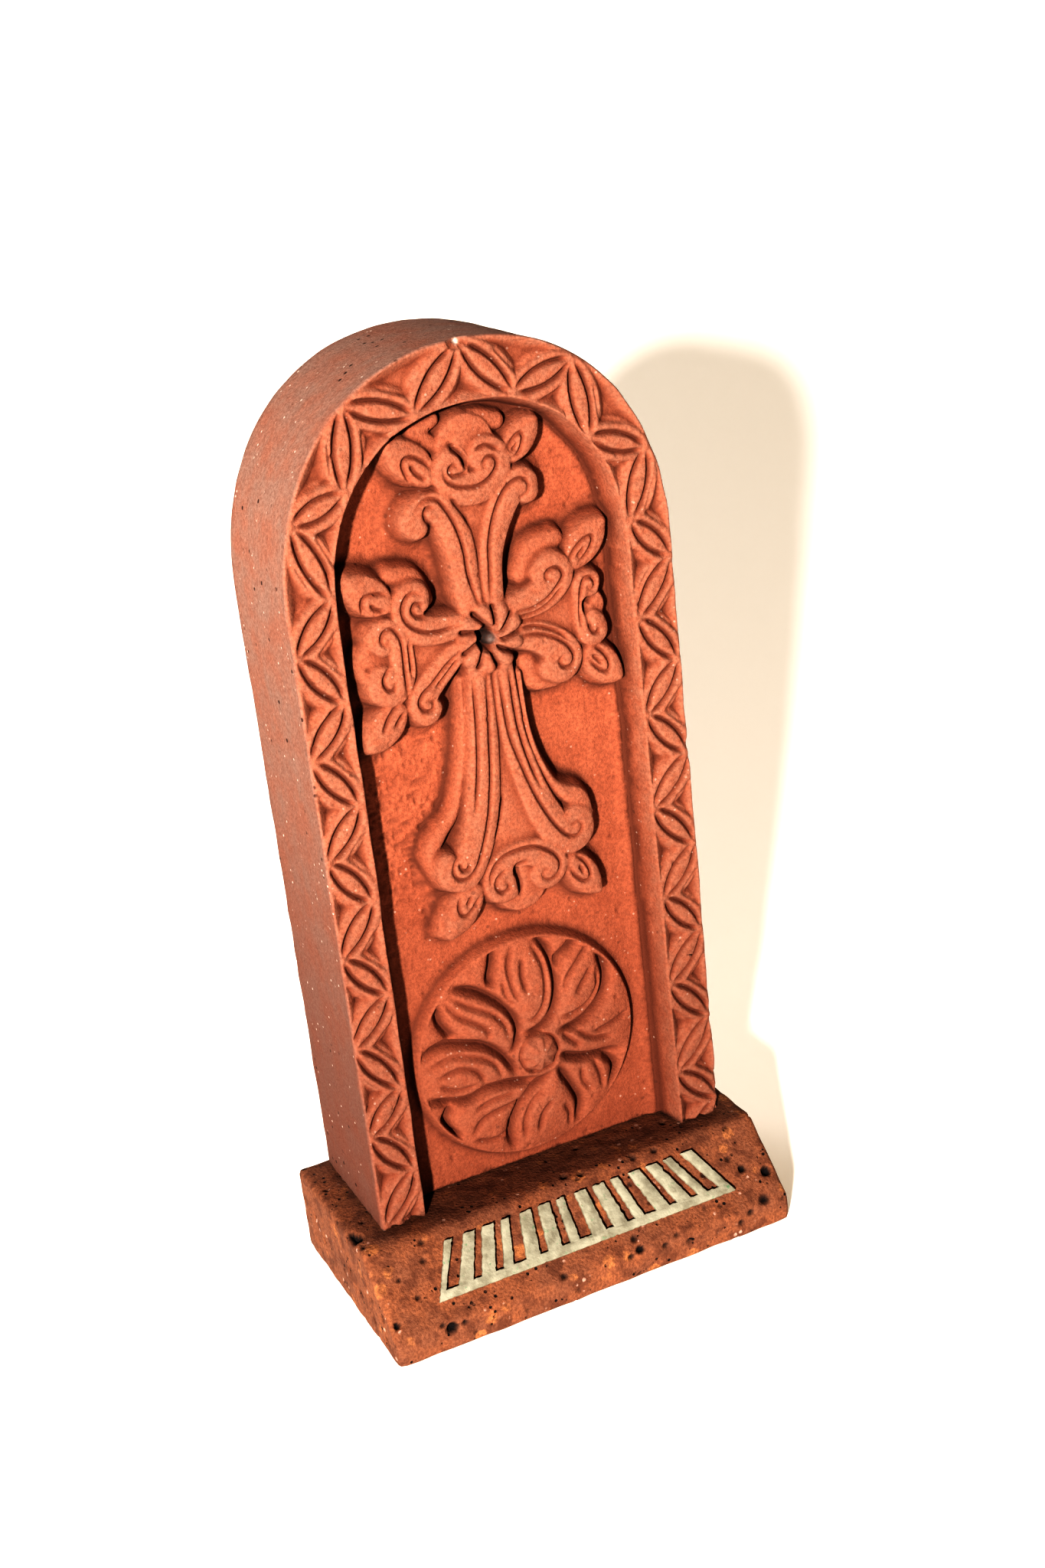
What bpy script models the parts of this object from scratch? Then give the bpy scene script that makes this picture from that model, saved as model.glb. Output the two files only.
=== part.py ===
"""Souvenir khachkar: a carved stone slab with an arched top, standing on a plinth.

Metres, +Z up. The origin is the middle of the plinth's underside and the carved face looks along -Y.
The carving is laid out on the slab's front face: across and up from the foot of the face's middle
line, with depth counted back into the stone.
"""

import math

import bmesh
import bpy
from mathutils import Vector

# Plinth: a block whose front edge is cut to a slope
PLINTH_WIDTH = 0.0758
PLINTH_DEPTH = 0.0430
PLINTH_HEIGHT = 0.0163
LIP_HEIGHT = 0.0052
SLOPE_RUN = 0.0115
PLINTH_EDGE = 0.0014

# Slab: upright, with a flattened round arch on top
SLAB_WIDTH = 0.0660
SLAB_THICKNESS = 0.0262
SLAB_HEIGHT = 0.1445
ARCH_RISE = 0.0370
ARCH_SQUARENESS = 2.15
SLAB_EDGE = 0.0007
ARCH_STEPS = 30
STEP_IN_FRONT = 0.0036
SLAB_ASIDE = 0.0006
SEAT_GAP = 0.0003

# Sunken field behind the border
BORDER_WIDTH = 0.0080
BORDER_AT_CROWN = 0.0095
FIELD_DEPTH = 0.0063
COVE_WIDTH = 0.0030
COVE_DEPTH = 0.0009
WALL_LEAN = 0.0013

# Border: a zigzag of leaves, left standing between chip-carved wedges
LEAF_PITCH = 0.0168
LEAF_MARGIN = 0.0010
LEAF_HALF_WIDTH = 0.0023
LEAF_CUT_FROM = 0.24
LEAF_CUT_TO = 0.80
CHIP_DEPTH = 0.0011
CHIP_LEAN = 0.30
SLIT_WIDTH = 0.0012
SLIT_DEPTH = 0.0006
SLIT_SPREAD = 0.62
CROWN_PERIODS = 3
CROWN_OVERLAP = 0.35

# Medallion under the cross
MEDALLION_CLEAR = 0.0038
MEDALLION_RIM = 0.0010
MEDALLION_EDGE_DEPTH = 0.0050
MEDALLION_CROWN_DEPTH = 0.0030
MEDALLION_ASIDE = -0.0009
MEDALLION_SEAT = 0.0010
KNOB_RADIUS = 0.0038
KNOB_SUNK = 0.55
KNOB_SQUASH = 0.9
PETAL_CREST = 0.0006
PETALS = 8
PETAL_TWIST = 0.75
PETAL_TURN = 0.25
PETAL_WIDTH = 0.86
ALMOND_WIDTH = 0.40

# Cross
CROSS_DROP = 0.0105
CROSS_DEPTH = 0.0018
CROSS_ROOT = 0.0008
TOP_CLEAR = 0.0050
SIDE_CLEAR = 0.0027
FOOT_CLEAR = 0.0049
ROSETTE_RADIUS = 0.0050
ROSETTE_LOBES = 8
ROSETTE_CREST = 0.0008
NUB_RADIUS = 0.0010
STRAND = 0.0028
STRAND_TOP = 0.45
BED_BELOW = 0.0010
BED_LEAN = 0.0006

# Each arm's own proportions, as shares of its reach from the cross's centre
SIDE_ARM = {
    "spread": 0.61, "leaf_length": 0.31, "leaf_half": 0.12,
    "stem_reach": 0.545, "stem_spread": 0.335, "stem_volute": 0.17,
    "scroll_reach": 0.817, "scroll_spread": 0.155, "scroll_volute": 0.128, "spine": 0.72,
}
TOP_ARM = {
    "spread": 0.365, "leaf_length": 0.22, "leaf_half": 0.08,
    "stem_reach": 0.68, "stem_spread": 0.258, "stem_volute": 0.1,
    "scroll_reach": 0.836, "scroll_spread": 0.095, "scroll_volute": 0.1, "spine": 0.7,
}
FOOT_ARM = {
    "spread": 0.287, "leaf_length": 0.16, "leaf_half": 0.058,
    "stem_reach": 0.75, "stem_spread": 0.213, "stem_volute": 0.086,
    "scroll_reach": 0.862, "scroll_spread": 0.088, "scroll_volute": 0.082, "spine": 0.757,
}

# Strip of pale stone on the plinth's slope
STRIP_LENGTH = 0.0570
STRIP_TAPER = 0.84
STRIP_HEIGHT = 0.0093
STRIP_THICKNESS = 0.0005
STRIP_BAR = 0.0016
STRIP_STROKES = 14
STROKE_WIDE = 0.62
STROKE_NARROW = 0.42
STRIP_DOWN = 0.0027
STRIP_GAP = 0.0003

HAIR = 0.00015


def collection(name):
    made = bpy.data.collections.new(name)
    bpy.context.scene.collection.children.link(made)
    return made


def material(name, colour, roughness):
    made = bpy.data.materials.new(name)
    made.use_nodes = True
    shader = made.node_tree.nodes["Principled BSDF"]
    shader.inputs["Base Color"].default_value = (*colour, 1.0)
    shader.inputs["Roughness"].default_value = roughness
    shader.inputs["Metallic"].default_value = 0.0
    made.diffuse_color = (*colour, 1.0)
    return made


def put(name, mesh, place, stuff=None):
    """A new object in the collection, with its material if it has one."""
    made = bpy.data.objects.new(name, mesh)
    place.objects.link(made)
    if stuff:
        mesh.materials.append(stuff)
    return made


def finish_mesh(name, bm):
    bmesh.ops.recalc_face_normals(bm, faces=bm.faces)
    mesh = bpy.data.meshes.new(name)
    bm.to_mesh(mesh)
    bm.free()
    return mesh


def cut(target, tool, operation):
    """One exact Boolean on the target; the tool stays as a hidden guide."""
    tool.hide_render = True
    tool.display_type = "WIRE"
    step = target.modifiers.new(tool.name, "BOOLEAN")
    step.operation = operation
    step.solver = "EXACT"
    step.use_self = True
    step.object = tool


def arch_outline(half, spring, rise, foot):
    """Points (across, up) from the left foot over the arch to the right foot."""
    points = [(-half, foot)]
    for i in range(ARCH_STEPS + 1):
        a = math.pi * (1 - i / ARCH_STEPS)
        across = abs(math.cos(a)) ** (2 / ARCH_SQUARENESS)
        up = abs(math.sin(a)) ** (2 / ARCH_SQUARENESS)
        points.append((math.copysign(half * across, math.cos(a)), spring + rise * up))
    points.append((half, foot))
    return points


def loft(bm, rings):
    """A closed solid through rings of the same count, each a list of (across, depth, up)."""
    rows = [[bm.verts.new(p) for p in ring] for ring in rings]
    count = len(rows[0])
    for near, far in zip(rows, rows[1:]):
        for i in range(count):
            j = (i + 1) % count
            bm.faces.new((near[i], near[j], far[j], far[i]))
    bm.faces.new(rows[0])
    bm.faces.new(rows[-1])


def flat(outline, depth):
    return [(x, depth, z) for x, z in outline]


def ribbon(bm, path, widths, crests, roots, top=0.0):
    """A carved strand along the path, rooted in the stone; top is the share of its width that is flat.

    widths, crests and roots give each point's width and the depths of its crest and of its foot.
    Each strand is a hair deeper than the one before it, so that no two of them share a plane.
    """
    hair = HAIR * (len(bm.faces) % 97) / 97
    sections = ((-1, 1), (-top, 0), (top, 0), (1, 1)) if top else ((-1, 1), (0, 0), (1, 1))
    rings = []
    for i, here in enumerate(path):
        ahead = path[min(i + 1, len(path) - 1)]
        behind = path[max(i - 1, 0)]
        along = Vector((ahead[0] - behind[0], ahead[1] - behind[1])).normalized()
        side = Vector((-along.y, along.x)) * widths[i] / 2
        ring = []
        for share, low in sections:
            depth = (roots[i] if low else crests[i]) + hair
            ring.append((here[0] + side.x * share, depth, here[1] + side.y * share))
        rings.append(ring)
    loft(bm, rings)


def leaf(bm, start, end, half, crest, root, steps=3, top=0.4):
    """A pointed leaf from start to end, widest halfway along."""
    run = Vector((end[0] - start[0], end[1] - start[1]))
    path, widths = [], []
    for i in range(steps + 1):
        centre = Vector(start) + run * i / steps
        path.append((centre.x, centre.y))
        widths.append(max(2 * half * math.sin(math.pi * i / steps), HAIR))
    ribbon(bm, path, widths, [crest] * len(path), [root] * len(path), top)


def curve_between(start, bend, end, steps):
    """Points of a quadratic curve, without its last one."""
    points = []
    for i in range(steps):
        t = i / steps
        keep, half, take = (1 - t) ** 2, 2 * t * (1 - t), t * t
        points.append(tuple(keep * a + half * b + take * c for a, b, c in zip(start, bend, end)))
    return points


def spiral(centre, outer, inner, start, turn, steps):
    """Points of a spiral about the centre; angles in degrees, radii shrink evenly."""
    points = []
    for i in range(steps + 1):
        t = i / steps
        a = math.radians(start + turn * t)
        radius = outer + (inner - outer) * t
        points.append((centre[0] + radius * math.cos(a), centre[1] + radius * math.sin(a)))
    return points


def blend(first, last, count):
    return [first + (last - first) * i / (count - 1) for i in range(count)]


def lobe(eye, radius, first, last, steps):
    """Points of an arc about an eye, with angles in degrees from the arm's own direction."""
    points = []
    for i in range(steps + 1):
        a = math.radians(first + (last - first) * i / steps)
        points.append((eye[0] + radius * math.cos(a), eye[1] + radius * math.sin(a)))
    return points


def bed(bm, arm, root):
    """The raised ground of an arm, lobed like its volutes and leaves, which its strands stand on."""
    curl, roll = arm["stem_volute"], arm["scroll_volute"]
    tip = (arm["reach"] - BED_LEAN * 2, arm["spread"] - BED_LEAN)
    base = arm["reach"] - arm["leaf_length"]
    half = [(arm["start"], STRAND * 1.1), (arm["stem_reach"] * 0.6, STRAND * 1.35)]
    half += lobe((arm["stem_reach"], arm["stem_spread"]), curl, 215, 60, 5)
    half += [(base + arm["leaf_half"], arm["spread"] * 0.8), tip]
    half += lobe((arm["scroll_reach"], arm["scroll_spread"]), roll, 65, -25, 3)
    outline = half + [(along, -left) for along, left in half[::-1]]
    hair = HAIR * (len(bm.faces) % 97) / 97
    rings = []
    for depth, lean in ((root, BED_LEAN), (CROSS_DEPTH + BED_BELOW, -BED_LEAN)):
        ring = []
        for along, left in outline:
            across, up = arm["lay"]((along, left + math.copysign(lean, left)))
            ring.append((across, depth + hair, up))
        rings.append(ring)
    loft(bm, rings)


def stem(bm, arm, side, root):
    """Two or three strands side by side; the outer one curls outwards into a volute."""
    lay = arm["lay"]
    eye = (arm["stem_reach"], side * arm["stem_spread"])
    orbit = arm["stem_volute"] - STRAND * 0.45
    curl = spiral(eye, orbit, orbit * 0.4, -110 * side, 290 * side, 9)
    start = (arm["start"], side * STRAND * 1.05)
    bend = (eye[0] * 0.55, side * STRAND * 1.25)
    path = [lay(p) for p in curve_between(start, bend, curl[0], 3) + curl]
    widths = blend(STRAND * 0.85, STRAND * 1.25, 4) + blend(STRAND * 1.2, STRAND * 0.62, len(path) - 4)
    ribbon(bm, path, widths, [CROSS_DEPTH] * len(path), [root] * len(path), STRAND_TOP)
    for n in range(1, arm["strands"]):
        inner = side * STRAND * 0.9 * n
        start = (arm["start"], side * STRAND * 0.35)
        end = (eye[0] + orbit * 0.2, curl[0][1] - inner)
        bend = (eye[0] * 0.6, side * STRAND * 0.5)
        path = [lay(p) for p in curve_between(start, bend, end, 3) + [end]]
        ribbon(bm, path, blend(STRAND * 0.6, STRAND, 4), [CROSS_DEPTH] * 4, [root] * 4)


def scroll(bm, arm, root):
    """The band between the stems, with both ends rolled up side by side."""
    lay = arm["lay"]
    orbit = arm["scroll_volute"] - STRAND * 0.4
    halves = []
    for side in (-1, 1):
        eye = (arm["scroll_reach"], side * arm["scroll_spread"])
        curl = spiral(eye, orbit, orbit * 0.36, 105 * side, -290 * side, 9)
        back = (arm["spine"], 0.0)
        bend = (arm["spine"], curl[0][1])
        halves.append(curve_between(back, bend, curl[0], 3) + curl)
    path = [lay(p) for p in halves[0][:0:-1] + halves[1]]
    half = len(path) // 2
    swell = blend(STRAND * 0.55, STRAND * 0.95, half)
    widths = swell + [STRAND] + swell[::-1]
    ribbon(bm, path, widths, [CROSS_DEPTH] * len(path), [root] * len(path), STRAND_TOP)


def arm_of_cross(bm, arm, root):
    """One arm: two stems with volutes, a scroll between them and a leaf at each corner."""
    bed(bm, arm, root)
    for side in (-1, 1):
        stem(bm, arm, side, root)
        base = (arm["reach"] - arm["leaf_length"], side * arm["spread"] * 0.52)
        tip = (arm["reach"], side * arm["spread"])
        leaf(bm, arm["lay"](base), arm["lay"](tip), arm["leaf_half"], CROSS_DEPTH + PETAL_CREST * 0.4, root)
    scroll(bm, arm, root)


def layer(centre, degrees):
    """Turns (along the arm, left of the arm) into (across, up) on the slab's face."""
    c, s = math.cos(math.radians(degrees)), math.sin(math.radians(degrees))

    def lay(point):
        return (centre[0] + point[0] * c - point[1] * s, centre[1] + point[0] * s + point[1] * c)

    return lay


def cross_arms(centre, field_half, field_top, medallion_top):
    """The four arms; each head is laid out back from the arm's own reach."""
    side_reach = field_half - SIDE_CLEAR
    top_reach = field_top - centre[1] - TOP_CLEAR
    foot_reach = centre[1] - medallion_top - FOOT_CLEAR
    plan = (
        (0, side_reach, SIDE_ARM, 2),
        (180, side_reach, SIDE_ARM, 2),
        (90, top_reach, TOP_ARM, 2),
        (270, foot_reach, FOOT_ARM, 3),
    )
    arms = []
    for degrees, reach, shares, strands in plan:
        arm = {name: reach * share for name, share in shares.items()}
        arm["lay"] = layer(centre, degrees)
        arm["start"] = ROSETTE_RADIUS * 0.8
        arm["reach"] = reach
        arm["strands"] = strands
        arms.append(arm)
    return arms


def rosette(bm, centre, root):
    """A ring of lobes round a small hollow with a nub in it."""
    for n in range(ROSETTE_LOBES):
        lay = layer(centre, 360 * (n + 0.5) / ROSETTE_LOBES)
        half = ROSETTE_RADIUS * math.tan(math.pi / ROSETTE_LOBES) * 0.85
        start, end = lay((ROSETTE_RADIUS * 0.18, 0)), lay((ROSETTE_RADIUS * 1.08, 0))
        leaf(bm, start, end, half, ROSETTE_CREST, root)
    nub = bmesh.ops.create_uvsphere(bm, u_segments=8, v_segments=5, radius=NUB_RADIUS)
    bmesh.ops.translate(bm, verts=nub["verts"], vec=(centre[0], ROSETTE_CREST + NUB_RADIUS, centre[1]))


def dome_depth(share):
    """Depth of the medallion's domed face at a share of its radius."""
    return MEDALLION_CROWN_DEPTH + (MEDALLION_EDGE_DEPTH - MEDALLION_CROWN_DEPTH) * share * share


def medallion_disc(bm, centre, radius, root):
    """The domed disc with its raised rim, turned from a profile."""
    profile = [(0.0, root), (radius, root), (radius, MEDALLION_EDGE_DEPTH - MEDALLION_RIM * 0.5)]
    profile.append((radius - MEDALLION_RIM, MEDALLION_EDGE_DEPTH - MEDALLION_RIM))
    for share in (0.9, 0.65, 0.35, 0.0):
        profile.append((radius * share, dome_depth(share)))
    points = [bm.verts.new((centre[0] + r, depth, centre[1])) for r, depth in profile]
    edges = [bm.edges.new(pair) for pair in zip(points, points[1:])]
    middle = (centre[0], 0.0, centre[1])
    turn = 2 * math.pi
    bmesh.ops.spin(bm, geom=points + edges, cent=middle, axis=(0, 1, 0), angle=turn, steps=ARCH_STEPS)
    bmesh.ops.remove_doubles(bm, verts=bm.verts, dist=HAIR * 0.1)


def medallion_petals(bm, centre, radius):
    """Long petals that all swirl the same way, and the knob in the middle."""
    inner = KNOB_RADIUS * 1.1
    outer = radius - 2.4 * MEDALLION_RIM
    across = math.pi * (inner + outer) / PETALS
    for n in range(PETALS):
        start = 2 * math.pi * (n + PETAL_TURN) / PETALS
        for wide, rise, first, last in ((PETAL_WIDTH, 1, 0.0, 1.0), (ALMOND_WIDTH, 2, 0.3, 0.9)):
            path, widths, faces = [], [], []
            for i in range(5):
                t = first + (last - first) * i / 4
                r = inner + (outer - inner) * t
                a = start + PETAL_TWIST * t * t
                path.append((centre[0] + r * math.cos(a), centre[1] + r * math.sin(a)))
                widths.append(across * wide * math.sin(math.pi * (0.1 + 0.82 * i / 4)))
                faces.append(dome_depth(r / radius))
            crests = [depth - PETAL_CREST * rise for depth in faces]
            ribbon(bm, path, widths, crests, [depth + PETAL_CREST for depth in faces], STRAND_TOP)
    knob = bmesh.ops.create_uvsphere(bm, u_segments=12, v_segments=6, radius=KNOB_RADIUS)
    lift = MEDALLION_CROWN_DEPTH + KNOB_RADIUS * KNOB_SUNK
    bmesh.ops.scale(bm, verts=knob["verts"], vec=(1.0, KNOB_SQUASH, 1.0))
    bmesh.ops.translate(bm, verts=knob["verts"], vec=(centre[0], lift, centre[1]))


def border_point(half, spring, rise, distance):
    """A point on an arched line, at a distance from the middle of the crown; right is positive."""
    steps = 200
    walked, last = 0.0, (0.0, spring + rise)
    reach = abs(distance)
    for i in range(1, steps + 1):
        a = math.pi / 2 * (1 - i / steps)
        x = half * math.cos(a) ** (2 / ARCH_SQUARENESS)
        z = spring + rise * math.sin(a) ** (2 / ARCH_SQUARENESS)
        piece = math.dist(last, (x, z))
        if walked + piece >= reach:
            t = (reach - walked) / piece
            here = (last[0] + (x - last[0]) * t, last[1] + (z - last[1]) * t)
            return (math.copysign(here[0], distance), here[1])
        walked += piece
        last = (x, z)
    return (math.copysign(half, distance), spring - (reach - walked))


def arch_length(half, rise):
    steps = 200
    total, last = 0.0, (0.0, rise)
    for i in range(1, steps + 1):
        a = math.pi / 2 * (1 - i / steps)
        here = (half * math.cos(a) ** (2 / ARCH_SQUARENESS), rise * math.sin(a) ** (2 / ARCH_SQUARENESS))
        total += math.dist(last, here)
        last = here
    return total


def leaf_edge(start, end, toward, half, steps):
    """Points along a leaf's edge, which bows from its axis towards a given point."""
    run = Vector(end) - Vector(start)
    side = Vector((-run.y, run.x)).normalized() * half
    if side.dot(Vector(toward) - Vector(start)) < 0:
        side.negate()
    points = []
    for i in range(steps + 1):
        t = LEAF_CUT_FROM + (LEAF_CUT_TO - LEAF_CUT_FROM) * i / steps
        points.append(Vector(start) + run * t + side * math.sin(math.pi * t))
    return points


def chip(bm, first, apex, last):
    """A wedge cut between two leaves that meet at the apex, with its open side along the border's edge."""
    outline = leaf_edge(first, apex, last, LEAF_HALF_WIDTH, 3)
    outline += leaf_edge(last, apex, first, LEAF_HALF_WIDTH, 3)[::-1]
    middle = sum(outline, Vector((0.0, 0.0))) / len(outline)
    rings = []
    for depth, lean in ((-CHIP_DEPTH / 2, -CHIP_LEAN / 2), (CHIP_DEPTH, CHIP_LEAN)):
        rings.append(flat([tuple(p + (middle - p) * lean) for p in outline], depth))
    loft(bm, rings)


def slits(bm, start, end):
    """Two shallow grooves that bow along a leaf and leave a lens between them."""
    for toward in (-1, 1):
        run = Vector(end) - Vector(start)
        square = Vector((-run.y, run.x))
        bow = leaf_edge(start, end, Vector(start) + toward * square, LEAF_HALF_WIDTH * SLIT_SPREAD, 3)
        rings = []
        for here, share in zip(bow, (0.5, 1.0, 1.0, 0.5)):
            across = square.normalized() * SLIT_WIDTH * share / 2
            deep = SLIT_DEPTH * share
            ring = []
            for point, depth in ((here - across, -deep / 2), (here, deep), (here + across, -deep / 2)):
                ring.append((point.x, depth, point.y))
            rings.append(ring)
        loft(bm, rings)


def border_cuts(bm, outer, inner):
    """Chips and slits that leave a zigzag of pointed leaves between the edges of the border."""
    spring = outer[1]
    long_out, long_in = arch_length(outer[0], outer[2]), arch_length(inner[0], inner[2])
    first = spring - LEAF_PITCH * CROWN_OVERLAP
    crown_out = (long_out + spring - first) / CROWN_PERIODS
    crown_in = (long_in + spring - first) / CROWN_PERIODS
    rows = int(first / LEAF_PITCH)
    for side in (-1, 1):
        nodes = []
        for n in range(CROWN_PERIODS + rows):
            crowned = min(n, CROWN_PERIODS)
            down = max(n - CROWN_PERIODS, 0) * LEAF_PITCH
            pitch_in = crown_in if n < CROWN_PERIODS else LEAF_PITCH
            nodes.append(border_point(*outer, side * max(crowned * crown_out + down, HAIR)))
            nodes.append(border_point(*inner, side * (crowned * crown_in + down + pitch_in / 2)))
        nodes.append(border_point(*outer, side * (CROWN_PERIODS * crown_out + rows * LEAF_PITCH)))
        for start, end in zip(nodes, nodes[1:]):
            slits(bm, start, end)
        for before, apex, after in zip(nodes, nodes[1:], nodes[2:]):
            chip(bm, before, apex, after)
    opposite = border_point(*inner, crown_in / 2)
    chip(bm, (-opposite[0], opposite[1]), border_point(*outer, HAIR), opposite)


def sunken_parts(half, field_half, spring, field_rise):
    """What is cut away: the arched field with its cove, and the chips and slits of the border."""
    bm = bmesh.new()
    below = -SLAB_EDGE * 3
    above = -FIELD_DEPTH / 4
    cove = FIELD_DEPTH - COVE_DEPTH
    walls = ((above, 0.0), (0.0, 0.0), (cove, WALL_LEAN), (FIELD_DEPTH, WALL_LEAN + COVE_WIDTH))
    rings = []
    for depth, inset in walls:
        rings.append(flat(arch_outline(field_half - inset, spring, field_rise - inset, below), depth))
    loft(bm, rings)
    outer = (half - LEAF_MARGIN, spring, ARCH_RISE - LEAF_MARGIN)
    inner = (field_half + LEAF_MARGIN, spring, field_rise + LEAF_MARGIN)
    border_cuts(bm, outer, inner)
    return finish_mesh("sunken_parts", bm)


def raised_parts(field_half, spring, field_rise):
    """What stands up from the sunken field: the medallion and the cross."""
    root = FIELD_DEPTH + CROSS_ROOT
    radius = field_half - MEDALLION_CLEAR
    hub = (MEDALLION_ASIDE, MEDALLION_SEAT + radius)
    centre = (0.0, spring - CROSS_DROP)
    bm = bmesh.new()
    medallion_disc(bm, hub, radius, root)
    medallion_petals(bm, hub, radius)
    for arm in cross_arms(centre, field_half, spring + field_rise, hub[1] + radius):
        arm_of_cross(bm, arm, root)
    rosette(bm, centre, root)
    return finish_mesh("raised_parts", bm)


def make_slab(parts, tools, stone, where):
    """The whole carved stone: an arched block with the ground cut down around the carving."""
    half = SLAB_WIDTH / 2
    spring = SLAB_HEIGHT - ARCH_RISE
    field_half = half - BORDER_WIDTH
    field_rise = ARCH_RISE - BORDER_AT_CROWN
    bm = bmesh.new()
    rings = []
    for depth, inset in ((0.0, SLAB_EDGE), (SLAB_EDGE, 0.0), (SLAB_THICKNESS, 0.0)):
        rings.append(flat(arch_outline(half - inset, spring, ARCH_RISE - inset, 0.0), depth))
    loft(bm, rings)
    slab = put("slab", finish_mesh("slab", bm), parts, stone)
    sunken = put("sunken_parts", sunken_parts(half, field_half, spring, field_rise), tools)
    raised = put("raised_parts", raised_parts(field_half, spring, field_rise), tools)
    cut(slab, sunken, "DIFFERENCE")
    cut(slab, raised, "UNION")
    weld = slab.modifiers.new("weld", "WELD")
    weld.merge_threshold = HAIR / 20
    for made in (slab, sunken, raised):
        made.location = where


def slope_profile():
    """Side outline of the plinth as (depth, up), the front at zero depth."""
    return [
        (0.0, 0.0),
        (0.0, LIP_HEIGHT),
        (SLOPE_RUN, PLINTH_HEIGHT),
        (PLINTH_DEPTH, PLINTH_HEIGHT),
        (PLINTH_DEPTH, 0.0),
    ]


def make_plinth(parts, stone):
    bm = bmesh.new()
    front = -PLINTH_DEPTH / 2
    rings = []
    for across in (-PLINTH_WIDTH / 2, PLINTH_WIDTH / 2):
        rings.append([(across, front + depth, up) for depth, up in slope_profile()])
    loft(bm, rings)
    plinth = put("plinth", finish_mesh("plinth", bm), parts, stone)
    edge = plinth.modifiers.new("worn edges", "BEVEL")
    edge.width = PLINTH_EDGE
    edge.segments = 3
    edge.limit_method = "ANGLE"
    return plinth


def make_strip(parts, stone):
    """A thin pale strip, glued to the slope: plain strokes on one bar, leaning in at the ends."""
    rise = PLINTH_HEIGHT - LIP_HEIGHT
    slope = math.atan2(rise, SLOPE_RUN)
    pitch = STRIP_LENGTH / (STRIP_STROKES - 1 + STROKE_WIDE)
    points = [(-STRIP_LENGTH / 2, 0.0)]
    for n in range(STRIP_STROKES):
        left = -STRIP_LENGTH / 2 + pitch * n
        right = left + pitch * (STROKE_WIDE if n % 3 or n == STRIP_STROKES - 1 else STROKE_NARROW)
        points += [(left * STRIP_TAPER, STRIP_HEIGHT), (right * STRIP_TAPER, STRIP_HEIGHT)]
        if n < STRIP_STROKES - 1:
            points += [(right, STRIP_BAR), (left + pitch, STRIP_BAR)]
    points.append((STRIP_LENGTH / 2, 0.0))
    bm = bmesh.new()
    loft(bm, [[(x, up, h) for x, up in points] for h in (STRIP_GAP, STRIP_GAP + STRIP_THICKNESS)])
    strip = put("front_strip", finish_mesh("front_strip", bm), parts, stone)
    down = STRIP_DOWN + STRIP_HEIGHT
    strip.rotation_euler = (slope, 0.0, 0.0)
    strip.location = (
        0.0,
        -PLINTH_DEPTH / 2 + SLOPE_RUN - down * math.cos(slope),
        PLINTH_HEIGHT - down * math.sin(slope),
    )
    return strip


for old in list(bpy.data.objects):
    bpy.data.objects.remove(old, do_unlink=True)

parts = collection("khachkar_cross_stone")
tools = collection("carving_guides")
tuff = material("carved_tuff", (0.72, 0.30, 0.18), 0.9)
plinth_tuff = material("plinth_tuff", (0.50, 0.22, 0.12), 0.85)
pale_stone = material("pale_strip", (0.62, 0.60, 0.48), 0.8)

make_plinth(parts, plinth_tuff)
slab_front = -PLINTH_DEPTH / 2 + SLOPE_RUN + STEP_IN_FRONT
make_slab(parts, tools, tuff, (SLAB_ASIDE, slab_front, PLINTH_HEIGHT + SEAT_GAP))
make_strip(parts, pale_stone)
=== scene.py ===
"""Dresses a small souvenir khachkar: a carved tuff slab on a tuff plinth, with a pale strip on its slope."""

import math

import bmesh
import bpy
import numpy as np
from mathutils import Matrix, Vector


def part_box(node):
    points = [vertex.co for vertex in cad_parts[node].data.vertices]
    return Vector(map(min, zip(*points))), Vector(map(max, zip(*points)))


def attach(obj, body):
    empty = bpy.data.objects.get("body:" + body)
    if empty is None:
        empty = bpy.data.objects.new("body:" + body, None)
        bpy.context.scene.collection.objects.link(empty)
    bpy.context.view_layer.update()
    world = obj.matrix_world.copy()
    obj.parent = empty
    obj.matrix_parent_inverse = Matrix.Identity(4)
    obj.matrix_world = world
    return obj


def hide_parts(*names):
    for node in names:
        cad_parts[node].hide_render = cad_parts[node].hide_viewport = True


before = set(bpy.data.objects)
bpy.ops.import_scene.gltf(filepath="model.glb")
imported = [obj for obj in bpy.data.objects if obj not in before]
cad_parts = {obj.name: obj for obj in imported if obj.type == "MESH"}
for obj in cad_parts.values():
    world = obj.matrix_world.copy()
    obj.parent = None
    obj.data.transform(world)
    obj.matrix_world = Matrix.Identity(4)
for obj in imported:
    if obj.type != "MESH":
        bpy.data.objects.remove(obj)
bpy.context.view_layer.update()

# The upright slab is one block of orange tuff, sawn to an arched outline, carved on its front face only
# and glued on the plinth. The carving is laid out as a map of depths, in millimetres across and up from
# the foot of the face's middle line, and back into the stone.
slab_low, slab_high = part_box("slab")
SLAB_WIDTH = 66.0
MM = (slab_high.x - slab_low.x) / SLAB_WIDTH
SLAB_HALF = SLAB_WIDTH / 2
SLAB_HEIGHT = (slab_high.z - slab_low.z) / MM
SLAB_THICK = (slab_high.y - slab_low.y) / MM
ARCH_RISE = 37.0
ARCH_SQUARENESS = 2.15
SPRING = SLAB_HEIGHT - ARCH_RISE
CELL = 0.15

across = np.arange(-SLAB_HALF, SLAB_HALF + CELL, CELL)
upward = np.arange(0.0, SLAB_HEIGHT + CELL, CELL)
X, Z = np.meshgrid(across, upward)


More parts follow.
